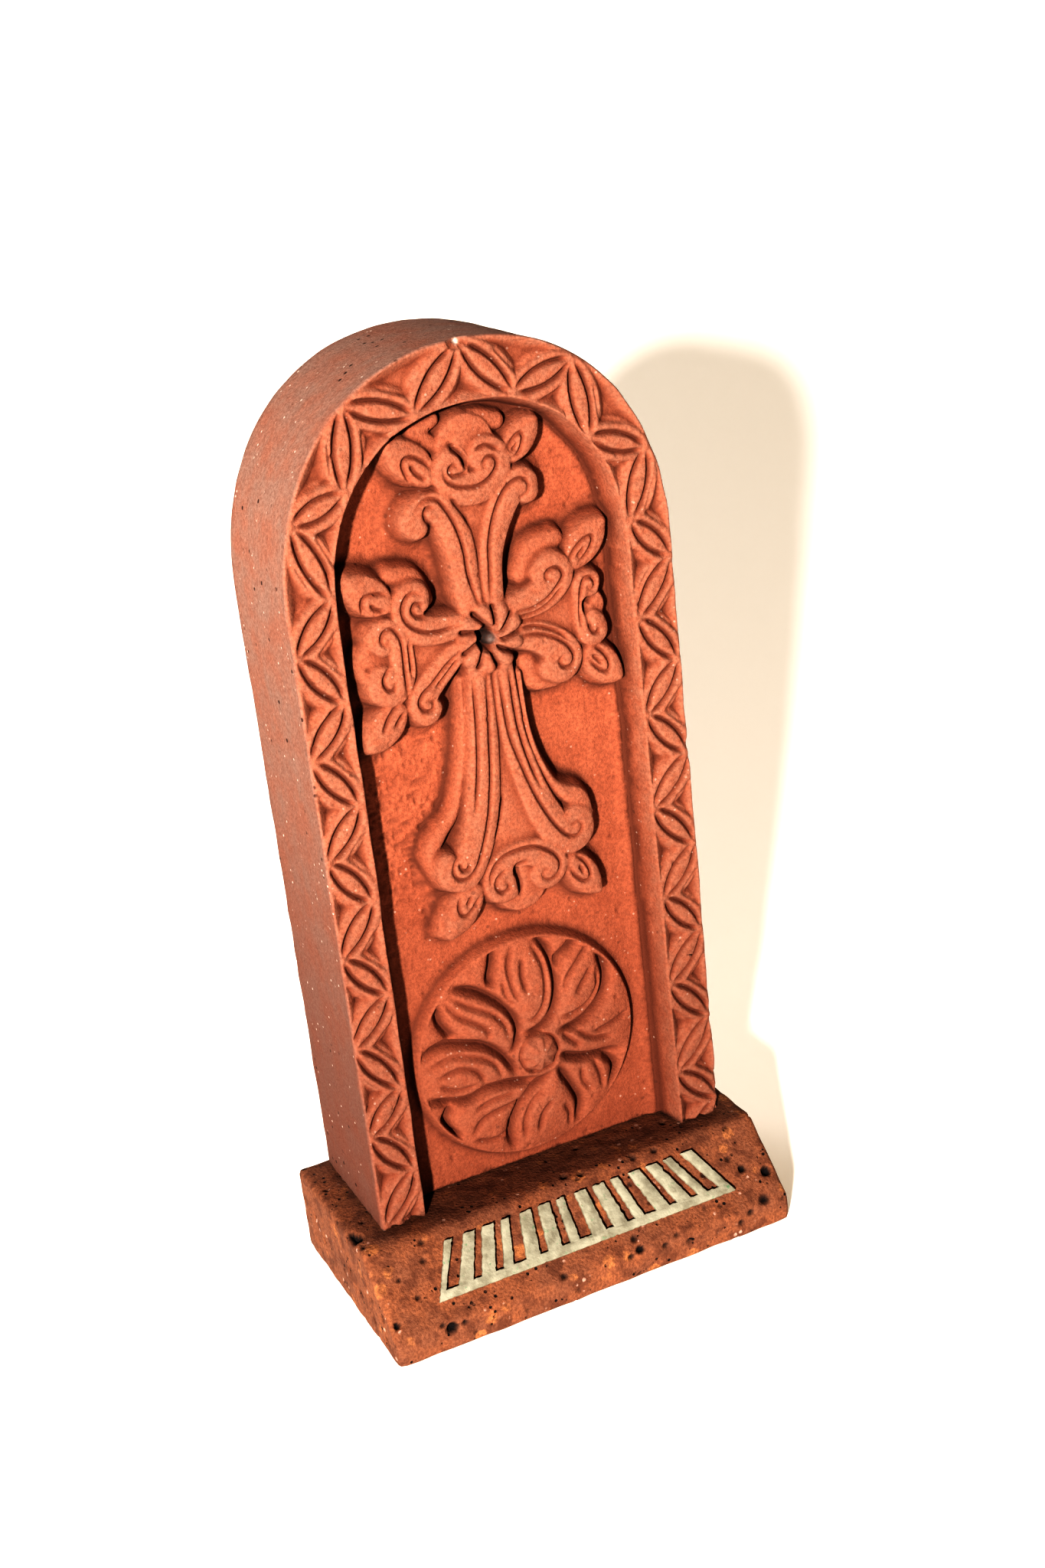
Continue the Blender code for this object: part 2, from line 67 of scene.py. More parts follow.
def inside_arch(x, z, half, rise):
    """How far a point is inside an arched outline, square to it; negative outside."""
    up, x = np.maximum(z - SPRING, 0.0), np.maximum(np.abs(x), 0.01)
    ring = (x / half) ** ARCH_SQUARENESS + (up / rise) ** ARCH_SQUARENESS
    ring = ring ** (1 / ARCH_SQUARENESS)
    radius = np.hypot(x, up)
    return radius * (1 / ring - 1)


def grain(size, seed):
    """Soft random bumps of a given size in millimetres, about -1 to 1, over the whole map."""
    dice = np.random.default_rng(seed)
    lattice = dice.uniform(-1, 1, (int(SLAB_HEIGHT / size) + 3, int(SLAB_WIDTH / size) + 3))
    col, row = (across + SLAB_HALF) / size, upward / size
    i, j = row.astype(int), col.astype(int)
    v, u = row - i, col - j
    v, u = (v * v * (3 - 2 * v))[:, None], (u * u * (3 - 2 * u))[None, :]
    low = lattice[i][:, j] * (1 - u) + lattice[i][:, j + 1] * u
    high = lattice[i + 1][:, j] * (1 - u) + lattice[i + 1][:, j + 1] * u
    return low * (1 - v) + high * v


def soften(field, spread):
    """The map blurred by a bell curve of a given spread in millimetres."""
    reach = int(3 * spread / CELL) + 1
    bell = np.exp(-0.5 * (np.arange(-reach, reach + 1) * CELL / spread) ** 2)
    bell /= bell.sum()
    for axis in (0, 1):
        padded = np.pad(field, [(reach, reach) if a == axis else (0, 0) for a in (0, 1)], "edge")
        field = sum(w * np.take(padded, range(k, k + field.shape[axis]), axis) for k, w in enumerate(bell))
    return field


def smooth_path(points, step=0.4):
    """A smooth curve through points of (across, up, half width)."""
    p = np.array(points, float)
    p = np.vstack([2 * p[0] - p[1], p, 2 * p[-1] - p[-2]])
    made = []
    for a, b, c, d in zip(p, p[1:], p[2:], p[3:]):
        count = max(int(np.hypot(*(c - b)[:2]) / step), 1)
        t = np.arange(count)[:, None] / count
        curve = 2 * b + (c - a) * t + (2 * a - 5 * b + 4 * c - d) * t**2 + (3 * b - a - 3 * c + d) * t**3
        made.append(0.5 * curve)
    return np.vstack(made + [p[-2:-1]])


def close_to(path, reach):
    """For each short piece of a path: the map near it, distances to it and its half width there."""
    for a, b in zip(path, path[1:]):
        low, high = np.minimum(a, b) - reach, np.maximum(a, b) + reach
        cols = slice(*np.searchsorted(across, (low[0], high[0])))
        rows = slice(*np.searchsorted(upward, (low[1], high[1])))
        x, z = X[rows, cols] - a[0], Z[rows, cols] - a[1]
        run = b - a
        t = np.clip((x * run[0] + z * run[1]) / max(run[0] ** 2 + run[1] ** 2, 1e-12), 0, 1)
        yield (rows, cols), np.hypot(x - t * run[0], z - t * run[1]), a[2] + t * run[2]


WALL_STEEP = 2.9
WALL_FOOT = 1.15
FOOT_STEEP = 0.7


def raise_strand(depth, points, crest, rounding):
    """Leaves a strand of stone standing: a rounded top, steep walls and a flared foot."""
    path = smooth_path(points)
    widest = path[:, 2].max()
    for part, gap, half in close_to(path, widest + 4.0):
        out = np.maximum(gap - half, 0.0)
        wall = WALL_STEEP * np.minimum(out, WALL_FOOT) + FOOT_STEEP * np.maximum(out - WALL_FOOT, 0.0)
        top = crest + rounding * np.minimum(gap / np.maximum(half, 0.05), 1.0) ** 2
        depth[part] = np.minimum(depth[part], top + wall)


def cut_groove(cuts, points, deep, reach=1.0):
    """A V groove along a path; its depth dies away at both ends."""
    path = smooth_path(points)
    for n, (part, gap, half) in enumerate(close_to(path, reach)):
        share = n / max(len(path) - 2, 1)
        fade = min(1.0, 5 * share + 0.3, 5 * (1 - share) + 0.3)
        cuts[part] = np.maximum(cuts[part], deep * fade * (1 - np.minimum(gap / np.maximum(half, 0.05), 1.0)))


def lens(start, end, half, shift=0.0, count=9, sharp=0.8, first=0.0, last=1.0):
    """Points from start to end, their half width swelling like a leaf; shift bows the line sideways."""
    a, b = np.array(start, float), np.array(end, float)
    side = np.array([a[1] - b[1], b[0] - a[0]]) / np.hypot(*(b - a))
    points = []
    for t in np.linspace(first, last, count):
        swell = max(math.sin(math.pi * t), 0.0) ** sharp
        here = a + (b - a) * t + side * shift * swell
        points.append((here[0], here[1], half * swell))
    return points


# The sunken field: walls that lean in a little with a fine groove at their foot, then a shallow cove
# all round. The hand-cut lines wander slightly.
BORDER = 8.0
CROWN_BORDER = 9.5
FIELD_DEPTH = 6.3
WALL_LEAN = 1.3
COVE_TOP = 5.4
COVE_WIDTH = 3.4
FOOT_GROOVE = 0.35
FOOT_GROOVE_WIDE = 0.3
HAND_WANDER = 0.16
HAND_REACH = 5.0
FIELD_HALF = SLAB_HALF - BORDER
FIELD_RISE = ARCH_RISE - CROWN_BORDER

sideways, endways = HAND_WANDER * grain(HAND_REACH, 1), HAND_WANDER * grain(HAND_REACH, 2)
into = inside_arch(X + sideways, Z + endways, FIELD_HALF, FIELD_RISE)
cove = np.clip((into - WALL_LEAN) / COVE_WIDTH, 0, 1)
depth = np.interp(into, [0.0, WALL_LEAN], [0.0, COVE_TOP])
depth += (FIELD_DEPTH - COVE_TOP) * np.sin(cove * math.pi / 2)
depth += FOOT_GROOVE * np.exp(-(((into - WALL_LEAN - 0.1) / FOOT_GROOVE_WIDE) ** 2))
cuts = np.zeros_like(depth)

# The border: a zigzag of leaves, each with two slits, left standing between chip-carved notches that
# have a small chevron cut in them. Both sides start from the crown's middle.
LEAF_PITCH = 16.75
LEFT_FIRST = 101.25
RIGHT_FIRST = 103.0
LEAF_MARGIN = 0.6
LEAF_BAND = 2.9
LEAF_LENS = 1.5
LEAF_SHARP = 0.65
LEAF_WALL = 1.2
SLIT_HALF = 0.6
SLIT_DEPTH = 1.3
CHIP_DEPTH = 1.6
CHIP_SLOPE = 0.9
CHIP_INSET = 0.2
NODE_WANDER = 0.28
CHEVRON_TIP = 0.5
CHEVRON_SPREAD = 0.42
CHEVRON_HALF = 0.45
CHEVRON_DEPTH = 0.55
CROWN_PERIODS = 3
NODES = 22


def arch_line(half, rise):
    """Points of an arched line from the middle of its crown to its right springing."""
    a = np.linspace(math.pi / 2, 0, 400)
    bow = 2 / ARCH_SQUARENESS
    return half * np.cos(a).clip(0) ** bow, rise * np.sin(a).clip(0) ** bow


def along_arch(half, rise, distance):
    """The point at a distance from the crown's middle along an arched line; right is positive."""
    x, z = arch_line(half, rise)
    x, z = np.append(x, half), np.append(SPRING + z, -30.0)
    walked = np.concatenate([[0], np.cumsum(np.hypot(np.diff(x), np.diff(z)))])
    reach = abs(distance)
    return math.copysign(float(np.interp(reach, walked, x)), distance), float(np.interp(reach, walked, z))


def crown_length(half, rise, first):
    """The length of an arched line from the crown's middle down to a height."""
    x, z = arch_line(half, rise)
    return float(np.hypot(np.diff(x), np.diff(z)).sum()) + SPRING - first


border_out = SLAB_HALF - LEAF_MARGIN, ARCH_RISE - LEAF_MARGIN
border_in = FIELD_HALF + LEAF_MARGIN, FIELD_RISE + LEAF_MARGIN
leaves = []
chevrons = []
wander = np.random.default_rng(8)
for side, first in ((-1, LEFT_FIRST), (1, RIGHT_FIRST)):
    nodes = []
    for n in range(NODES):
        line = border_in if n % 2 else border_out
        period = n / 2
        crown = crown_length(*line, first) * min(period, CROWN_PERIODS) / CROWN_PERIODS
        walked = crown + LEAF_PITCH * max(period - CROWN_PERIODS, 0)
        nodes.append(along_arch(*line, side * max(walked, 0.01)))
    drift = wander.normal(0, NODE_WANDER, (len(nodes), 2))
    nodes = [(x + dx, z + dz) for (x, z), (dx, dz) in zip(nodes, drift)]
    leaves += list(zip(nodes, nodes[1:]))
    chevrons += list(zip(nodes, nodes[1:], nodes[2:]))

slab_in = inside_arch(X, Z, SLAB_HALF, ARCH_RISE)
band = into < 0.0
from_edge = np.minimum(np.maximum(slab_in - CHIP_INSET, 0.0), np.maximum(-into - CHIP_INSET, 0.0))
border = np.where(band, np.minimum(CHIP_DEPTH, CHIP_SLOPE * from_edge), depth)
for start, end in leaves:
    path = smooth_path(lens(start, end, LEAF_BAND, sharp=LEAF_SHARP))
    for part, gap, half in close_to(path, LEAF_BAND + 2.0):
        rise = LEAF_WALL * np.maximum(gap - half, 0.0)
        border[part] = np.where(band[part], np.minimum(border[part], rise), border[part])
    for shift in (-1, 1):
        slit = lens(start, end, 0.0, shift * LEAF_LENS, first=0.06, last=0.94)
        cut_groove(cuts, [(x, z, SLIT_HALF) for x, z, _ in slit], SLIT_DEPTH)
for before, apex, after in chevrons:
    middle = (before[0] + after[0]) / 2, (before[1] + after[1]) / 2
    tip = [m + CHEVRON_TIP * (a - m) for m, a in zip(middle, apex)]
    for corner in (before, after):
        foot = [m + CHEVRON_SPREAD * (c - m) for m, c in zip(middle, corner)]
        halfway = [(t + f) / 2 for t, f in zip(tip, foot)]
        cut_groove(cuts, [(x, z, CHEVRON_HALF) for x, z in (tip, halfway, foot)], CHEVRON_DEPTH)
depth = border

# The cross: broad flat strands on a lower bed. Each rolls up in a volute at its end, and thin lines
# cut along its top split it in two and wind into the volute's eye. A leaf fills each outer corner.
CROSS_CREST = 1.5
BED_CREST = 2.6
BEHIND_CREST = 3.1
OUTER_CREST = 2.1
LEAF_CREST = 1.8
BED_ROUND = 0.15
BEHIND_ROUND = 0.5
LEAF_ROUND = 0.5
STRAND_ROUND = 0.4
LINE_DEPTH = 1.05
LINE_HALF = 0.46
GAP_DEPTH = 2.0
GAP_HALF = 0.75
beds = []
behind = []
strands = []
corner_leaves = []
lines = []

# The top arm
beds += [
    [(0.2, 101, 2.6), (0.4, 108, 2.9), (0.4, 114, 4.2), (0.2, 119, 6.0), (0.2, 124, 6.0),
     (0.2, 128, 4.6)],
]
behind += [
    [(-4.5, 128.2, 1.2), (-7.6, 131.0, 1.5), (-4.5, 132.5, 1.0)],
    [(-1.5, 129.8, 1.3), (2.0, 131.2, 1.6), (6.0, 130.4, 1.3)],
]
strands += [
    [(-2.3, 101, 1.9), (-2.7, 108, 2.2), (-3.0, 112, 2.35), (-3.9, 116, 2.5), (-5.6, 119.0, 2.5),
     (-8.3, 119.4, 2.3), (-10.1, 118.0, 2.3), (-9.7, 116.9, 1.7)],
    [(1.5, 101, 1.6), (1.8, 108, 1.8), (2.5, 112, 2.0), (4.1, 116, 2.25), (6.2, 119.3, 2.4),
     (8.5, 120.4, 2.5), (9.3, 119.0, 1.9)],
    [(-1.6, 124.6, 1.5), (-2.6, 125.5, 2.6), (-3.5, 123.9, 2.6), (-1.6, 121.6, 2.5), (1.3, 121.2, 2.5),
     (3.9, 122.8, 2.6), (4.4, 125.3, 2.5), (2.9, 126.4, 2.4), (2.0, 125.4, 1.6)],
]
corner_leaves += [
    [(-7.0, 124.2, 1.4), (-8.6, 126.4, 2.7), (-10.6, 128.2, 2.5), (-12.6, 130.2, 1.0)],
    [(7.7, 125.0, 1.3), (8.8, 126.6, 2.3), (10.3, 128.2, 2.0), (11.6, 129.5, 0.9)],
]
lines += [
    [(-1.3, 103), (-2.4, 108), (-2.6, 112), (-3.5, 116), (-4.8, 118.9), (-6.0, 120.6), (-8.0, 121.0),
     (-10.2, 119.6)],
    [(-1.0, 115.5), (-1.9, 117.5), (-3.7, 120.4)],
    [(-6.6, 116.0), (-7.6, 117.1), (-8.4, 118.2), (-8.4, 119.3), (-7.6, 119.8), (-6.7, 119.5)],
    [(0.9, 103), (1.4, 108), (1.8, 112), (3.0, 116), (4.6, 119), (6.5, 120.8), (8.4, 121.2),
     (9.4, 120.2), (9.1, 118.8), (7.9, 118.2)],
    [(-0.4, 124.0), (-1.6, 123.7), (-3.0, 123.8), (-3.5, 124.7), (-2.7, 125.4), (-1.9, 124.9)],
    [(-4.4, 124.8), (-4.1, 123.3), (-2.6, 122.1), (-0.8, 121.6), (1.2, 121.5), (3.2, 122.4),
     (4.5, 124.0), (4.3, 125.3), (3.2, 125.6), (2.3, 124.9), (2.4, 124.0)],
    [(1.2, 127.0), (3.2, 127.4), (5.1, 126.4)],
    [(-9.0, 122.9), (-10.2, 125.0), (-10.8, 127.0), (-10.2, 127.9), (-8.8, 127.8), (-7.2, 126.7),
     (-6.4, 125.7)],
    [(-9.6, 126.8), (-8.9, 125.4), (-7.2, 123.8)],
    [(6.8, 126.1), (8.0, 127.5), (9.3, 128.2), (9.4, 127.0), (8.6, 125.3), (7.4, 124.6)],
    [(7.4, 125.4), (8.6, 126.8)],
]

# The left arm
beds += [
    [(-3.0, 97.3, 3.0), (-8.0, 97.0, 3.4), (-12.0, 96.8, 4.6), (-16.5, 96.8, 5.2), (-18.6, 96.8, 3.4)],
]
behind += [
    [(-9.4, 105.2, 1.3), (-11.2, 108.8, 1.6), (-14.6, 110.0, 1.4)],
]
strands += [
    [(-4.6, 100.2, 1.7), (-6.2, 100.2, 2.0), (-9.0, 100.3, 2.2), (-11.6, 101.1, 2.35),
     (-13.0, 103.3, 2.4), (-12.9, 105.8, 2.4), (-11.3, 106.6, 2.0), (-10.8, 105.2, 1.4)],
    [(-4.6, 96.5, 1.5), (-6.0, 95.8, 1.8), (-8.4, 93.9, 2.1), (-10.9, 91.6, 2.2), (-12.6, 89.3, 2.2),
     (-12.0, 87.3, 2.0), (-10.9, 87.8, 1.5)],
    [(-17.8, 99.6, 1.4), (-18.5, 101.2, 1.9), (-16.9, 101.9, 2.0), (-15.3, 99.8, 2.0),
     (-14.9, 97.0, 1.9), (-15.2, 94.4, 2.1), (-16.8, 92.2, 2.3), (-19.0, 92.8, 2.1),
     (-18.9, 94.8, 1.9), (-17.8, 95.0, 1.4)],
]
corner_leaves += [
    [(-16.6, 106.2, 1.5), (-18.4, 107.6, 2.8), (-20.0, 109.0, 2.6), (-21.8, 110.9, 1.0)],
    [(-16.6, 88.6, 1.5), (-18.4, 87.0, 2.7), (-20.2, 85.4, 2.4), (-21.8, 83.9, 1.0)],
]
lines += [
    [(-5.4, 100.3), (-9.0, 100.2), (-11.5, 100.9), (-13.5, 102.6), (-14.1, 104.6), (-13.4, 106.4),
     (-12.0, 107.2), (-10.6, 106.6)],
    [(-9.6, 103.3), (-10.7, 103.0), (-11.9, 103.4), (-12.5, 104.5), (-11.9, 105.4), (-11.0, 105.1),
     (-10.9, 104.3)],
    [(-5.4, 96.1), (-8.3, 94.1), (-10.6, 92.0), (-12.4, 90.7), (-13.2, 89.2), (-12.4, 87.8),
     (-11.1, 87.8), (-10.8, 88.9), (-11.7, 89.4)],
    [(-5.8, 95.0), (-8.4, 92.6), (-10.2, 91.1)],
    [(-14.9, 91.0), (-14.9, 95.0), (-14.8, 99.0), (-15.3, 101.2), (-16.4, 102.4), (-17.7, 102.0),
     (-18.2, 100.8), (-17.6, 99.9), (-16.9, 100.5)],
    [(-13.8, 94.0), (-13.7, 99.5)],
    [(-17.3, 96.2), (-18.6, 94.6), (-18.2, 92.9), (-17.1, 92.5), (-16.8, 93.6)],
    [(-19.9, 104.6), (-20.3, 106.5), (-20.1, 107.9), (-19.1, 108.4), (-17.4, 108.2), (-15.9, 107.7)],
    [(-19.0, 107.0), (-18.4, 106.0), (-16.9, 105.3)],
    [(-16.9, 89.7), (-18.5, 88.1), (-19.8, 86.0)],
    [(-15.9, 88.4), (-17.6, 86.4)],
]

# The right arm
beds += [
    [(3.0, 97.3, 3.0), (8.0, 97.8, 3.2), (12.0, 97.8, 4.6), (15.5, 97.8, 4.8), (18.0, 97.8, 3.0)],
]
behind += [
    [(7.5, 105.6, 1.6), (10.2, 108.8, 2.0), (13.6, 110.0, 1.6)],
    [(6.8, 90.8, 1.6), (8.2, 88.0, 2.0), (11.4, 86.9, 1.3)],
]
strands += [
    [(4.4, 101.0, 1.8), (6.0, 101.0, 2.2), (8.6, 101.3, 2.5), (11.2, 102.6, 2.8), (13.0, 104.7, 2.7),
     (12.0, 106.2, 2.3), (10.4, 105.4, 1.9)],
    [(4.4, 96.0, 1.7), (6.0, 95.8, 2.0), (8.8, 95.0, 2.4), (11.4, 93.2, 2.7), (13.2, 90.8, 2.7),
     (12.2, 88.8, 2.2), (10.4, 89.4, 2.0)],
    [(18.6, 101.0, 1.3), (18.5, 102.2, 1.8), (17.3, 101.7, 1.9), (16.3, 99.6, 1.0), (16.2, 97.4, 0.9),
     (16.5, 95.3, 1.05), (17.6, 93.4, 1.7), (19.0, 93.6, 1.8), (19.1, 95.2, 1.5), (18.5, 96.4, 1.0)],
]
corner_leaves += [
    [(16.4, 106.0, 1.5), (18.0, 107.8, 2.7), (19.6, 109.4, 2.5), (21.6, 111.3, 0.9)],
    [(17.8, 90.4, 1.5), (19.2, 88.4, 2.7), (20.6, 86.6, 2.3), (22.2, 85.2, 0.9)],
]
lines += [
    [(5.2, 100.2), (8.0, 100.2), (10.5, 101.1), (12.4, 102.6), (13.7, 104.2), (13.3, 105.5),
     (12.0, 105.9), (10.8, 105.3), (10.8, 104.3), (11.7, 103.9)],
    [(5.4, 99.2), (8.6, 99.4), (11.2, 100.5), (13.6, 102.6)],
    [(5.2, 96.1), (8.2, 95.7), (11.2, 94.5), (13.4, 92.6), (14.3, 90.6), (13.6, 89.2), (12.2, 89.2),
     (11.6, 90.4), (12.4, 91.2)],
    [(5.2, 97.3), (8.4, 97.0), (11.6, 95.4), (14.0, 93.2)],
    [(17.4, 95.4), (18.1, 93.7), (19.0, 93.5), (18.9, 94.5)],
    [(16.2, 94.8), (16.2, 98.0), (16.6, 101.0), (17.4, 102.8), (18.7, 102.9), (19.3, 101.7),
     (18.6, 100.8), (17.8, 101.4)],
    [(15.3, 106.4), (16.5, 107.9), (18.2, 109.2), (19.7, 109.5), (19.5, 108.2), (18.4, 106.7),
     (16.9, 105.8)],
    [(16.6, 106.5), (18.3, 108.0)],
    [(18.2, 91.2), (19.8, 89.7), (20.6, 87.8), (20.1, 86.5), (18.7, 87.2), (17.0, 89.3)],
    [(17.7, 89.9), (19.2, 88.0)],
]

# The foot
beds += [
    [(0.2, 95, 2.6), (0.3, 86, 3.0), (0.6, 76, 4.2), (0.8, 68, 6.4), (0.8, 61, 7.6), (0.8, 56, 6.0),
     (0.9, 53.5, 4.6)],
]
behind += [
    [(-5.2, 91, 0.4), (-6.0, 82, 0.5), (-7.2, 75, 0.7), (-9.2, 69.0, 0.9), (-12.0, 66.0, 1.2),
     (-14.0, 62.6, 1.2), (-13.6, 58.6, 0.8)],
    [(-5.4, 58.4, 1.0), (-2.6, 60.9, 1.2), (1.6, 61.5, 1.3), (5.4, 60.4, 1.2), (8.4, 57.6, 1.0)],
    [(-9.6, 54.4, 1.4), (-12.0, 51.4, 1.6), (-14.0, 48.6, 0.8)],
]
outer_strand = [
    (4.6, 90, 0.3), (4.9, 82, 0.35), (6.0, 76, 0.4), (8.3, 70.2, 0.6), (10.4, 67.6, 1.2),
    (12.8, 65.8, 1.6), (14.2, 62.8, 1.0),
]
gaps = [
    [(-2.6, 128.2), (-1.0, 126.6), (-0.4, 124.6)],
    [(17.3, 97.2), (17.4, 99.0), (18.6, 98.7)],
    [(1.6, 57.6), (0.0, 57.1), (0.3, 55.0), (0.5, 52.2)],
]
strands += [
    [(-2.3, 93, 1.8), (-2.6, 86, 2.1), (-3.0, 80, 2.4), (-3.6, 75, 2.65), (-4.4, 70, 2.8),
     (-5.6, 65, 2.8), (-7.2, 61, 2.8), (-9.0, 58.3, 2.6), (-11.5, 58.7, 2.2), (-11.9, 60.8, 1.9)],
    [(1.7, 93, 1.7), (1.9, 86, 1.9), (2.2, 80, 2.0), (3.2, 75, 2.2), (4.5, 70, 2.4), (6.1, 65.5, 2.7),
     (8.3, 61.3, 2.8), (10.6, 59.2, 2.5), (12.5, 60.3, 2.3), (12.2, 62.6, 2.2), (10.9, 63.2, 1.5)],
    [(-1.8, 53.9, 2.2), (-3.2, 54.2, 2.5), (-3.4, 56.0, 2.4), (-1.8, 58.2, 2.3), (1.5, 59.2, 2.2),
     (4.9, 58.2, 2.5), (6.7, 55.6, 2.6), (5.5, 54.0, 2.3), (4.4, 54.6, 1.9)],
]
corner_leaves += [
    [(-7.6, 54.8, 1.4), (-9.2, 53.0, 2.6), (-10.8, 50.8, 2.4), (-12.8, 48.4, 0.9)],
    [(10.4, 55.2, 1.4), (11.8, 53.0, 2.5), (13.0, 50.8, 2.3), (14.6, 48.8, 0.8)],
]
lines += [
    [(-1.4, 91), (-1.7, 86), (-2.2, 80), (-2.6, 75), (-3.4, 70), (-4.2, 66.5), (-5.4, 62.8),
     (-6.9, 59.4), (-8.6, 57.9), (-10.2, 57.9), (-11.2, 59.2), (-10.9, 60.8), (-10.0, 61.8),
     (-8.8, 63.2)],
    [(-3.6, 91), (-4.1, 82), (-4.9, 75), (-6.0, 69)],
    [(-0.8, 70.0), (-1.8, 66.4), (-3.0, 63.2)],
    [(-10.0, 60.6), (-9.6, 59.4), (-8.6, 59.3), (-8.3, 60.4)],
    [(0.8, 91), (1.0, 86), (1.5, 80), (2.8, 75), (4.5, 69.6), (6.1, 65.8), (8.0, 62.3), (9.8, 60.2),
     (11.6, 59.8), (12.5, 61.0), (11.9, 62.2), (10.9, 62.0)],
    [(2.6, 91), (3.0, 82), (4.2, 75.5), (5.9, 70.0)],
    [(-4.9, 54.6), (-4.6, 57.0), (-2.8, 59.2), (0.0, 60.1), (3.6, 59.9), (6.6, 58.0), (7.9, 55.8),
     (7.2, 53.9), (5.6, 53.3), (4.4, 54.3), (4.8, 55.4)],
    [(-2.2, 57.2), (-3.8, 56.0), (-4.0, 54.4), (-3.0, 53.4), (-1.8, 54.1), (-2.2, 55.1)],
    [(-10.5, 54.5), (-11.0, 52.5), (-10.2, 51.2), (-8.6, 52.0), (-7.2, 53.8)],
    [(-9.6, 52.9), (-8.6, 54.4)],
    [(11.2, 55.9), (12.8, 54.0), (13.3, 51.9), (12.3, 51.0), (10.6, 52.3), (9.8, 54.0)],
    [(11.4, 54.2), (12.1, 52.4)],
]

for points in beds:
    raise_strand(depth, points, BED_CREST, BED_ROUND)
for points in behind:
    raise_strand(depth, points, BEHIND_CREST, BEHIND_ROUND)
raise_strand(depth, outer_strand, OUTER_CREST, STRAND_ROUND)
for points in corner_leaves:
    raise_strand(depth, points, LEAF_CREST, LEAF_ROUND)
for points in strands:
    raise_strand(depth, points, CROSS_CREST, STRAND_ROUND)
for points in lines:
    cut_groove(cuts, [(x, z, LINE_HALF) for x, z in points], LINE_DEPTH)
for points in gaps:
    cut_groove(cuts, [(x, z, GAP_HALF) for x, z in points], GAP_DEPTH)

# The rosette: nine turned ribs with cuts between them, round a dark little hollow that has a grey nub
# left in it. Ribs and cuts are given by distance from the hub, turn and half width.
HUB = 0.0, 97.2
HUB_REACH = 5.0
HUB_BED = 2.3
RIBS = 9
RIB_START = 0.2
RIB = (1.9, -0.2, 0.6), (2.9, -0.02, 0.95), (3.9, 0.1, 1.25), (4.7, 0.16, 1.15)
RIB_GAP = (1.6, 0.12, 0.5), (3.0, 0.32, 0.5), (4.2, 0.44, 0.5), (5.4, 0.5, 0.5)
RIB_CREST = 0.7
RIB_ROUND = 0.7
RIB_GAP_DEPTH = 1.5
HOLLOW_DEPTH = 5.4
HOLLOW_RADIUS = 1.5
NUB_DEPTH = 2.9
NUB_RADIUS = 1.1
HOLLOW_AT = HUB[0] - 0.7, HUB[1]
HOLLOW_SQUASH = 0.8
NUB_AT = HUB[0] + 0.3, HUB[1] - 0.4


def around(centre, r, turn, *half):
    """A point at a distance and turn from a centre, with its half width passed on."""
    return centre[0] + r * math.cos(turn), centre[1] + r * math.sin(turn), *half


hub_gap = np.hypot(X - HUB[0], Z - HUB[1])
depth = np.where(hub_gap < HUB_REACH, np.maximum(depth, HUB_BED), depth)
for n in range(RIBS):
    a = 2 * math.pi * n / RIBS + RIB_START
    raise_strand(depth, [around(HUB, r, a + turn, half) for r, turn, half in RIB], RIB_CREST, RIB_ROUND)
    cut_groove(cuts, [around(HUB, r, a + turn, half) for r, turn, half in RIB_GAP], RIB_GAP_DEPTH)
hollow_gap = np.hypot(X - HOLLOW_AT[0], (Z - HOLLOW_AT[1]) * HOLLOW_SQUASH)
depth = np.maximum(depth, HOLLOW_DEPTH * np.clip(1.5 - hollow_gap / HOLLOW_RADIUS, 0, 1))
nub_gap = np.hypot(X - NUB_AT[0], Z - NUB_AT[1])
nub_dome = NUB_RADIUS * np.sqrt(np.clip(1 - (nub_gap / NUB_RADIUS) ** 2, 0, 1))
depth = np.where(nub_gap < NUB_RADIUS, np.minimum(depth, NUB_DEPTH - nub_dome), depth)

# The medallion: a dome in a plain rim, carved with eight overlapping petals round a fluted knob. A deep
# line cuts off each petal, and finer ones follow it like strands of rope. All are noted at one depth.
DISC = -1.0, 23.0
DISC_RADIUS = 20.6
DISC_EDGE = 4.2
DISC_CROWN = 1.9
KNOB = 0.4, 21.8
KNOB_RADIUS = 3.5
DOME_REACH = DISC_RADIUS - 0.9
RIM_INNER = DISC_RADIUS - 0.7
RIM_DEPTH = DISC_EDGE - 0.1
RIM_WIDE = 0.3
RIM_ROUND = 0.5
RIM_WALL = 2.2
EDGE_CUT = 1.5
EDGE_HALF = 1.1
EDGE_REACH = 1.2
ROPE_CUT = 0.9
ROPE_HALF = 0.8
PETAL_ROUND = 1.7
PETAL_SOFT = 0.9
KNOB_FOOT = DISC_CROWN + 0.9
KNOB_HIGH = 1.9
LOBES = 8
LOBE_CUT = 0.5
LOBE_TURN = 0.4
LOBE_START = 2.2
MOAT_DEPTH = DISC_CROWN + 1.3
MOAT_RISE = 1.6
NOTED_AT = 3.0
SIGHT = 0.44, -0.644
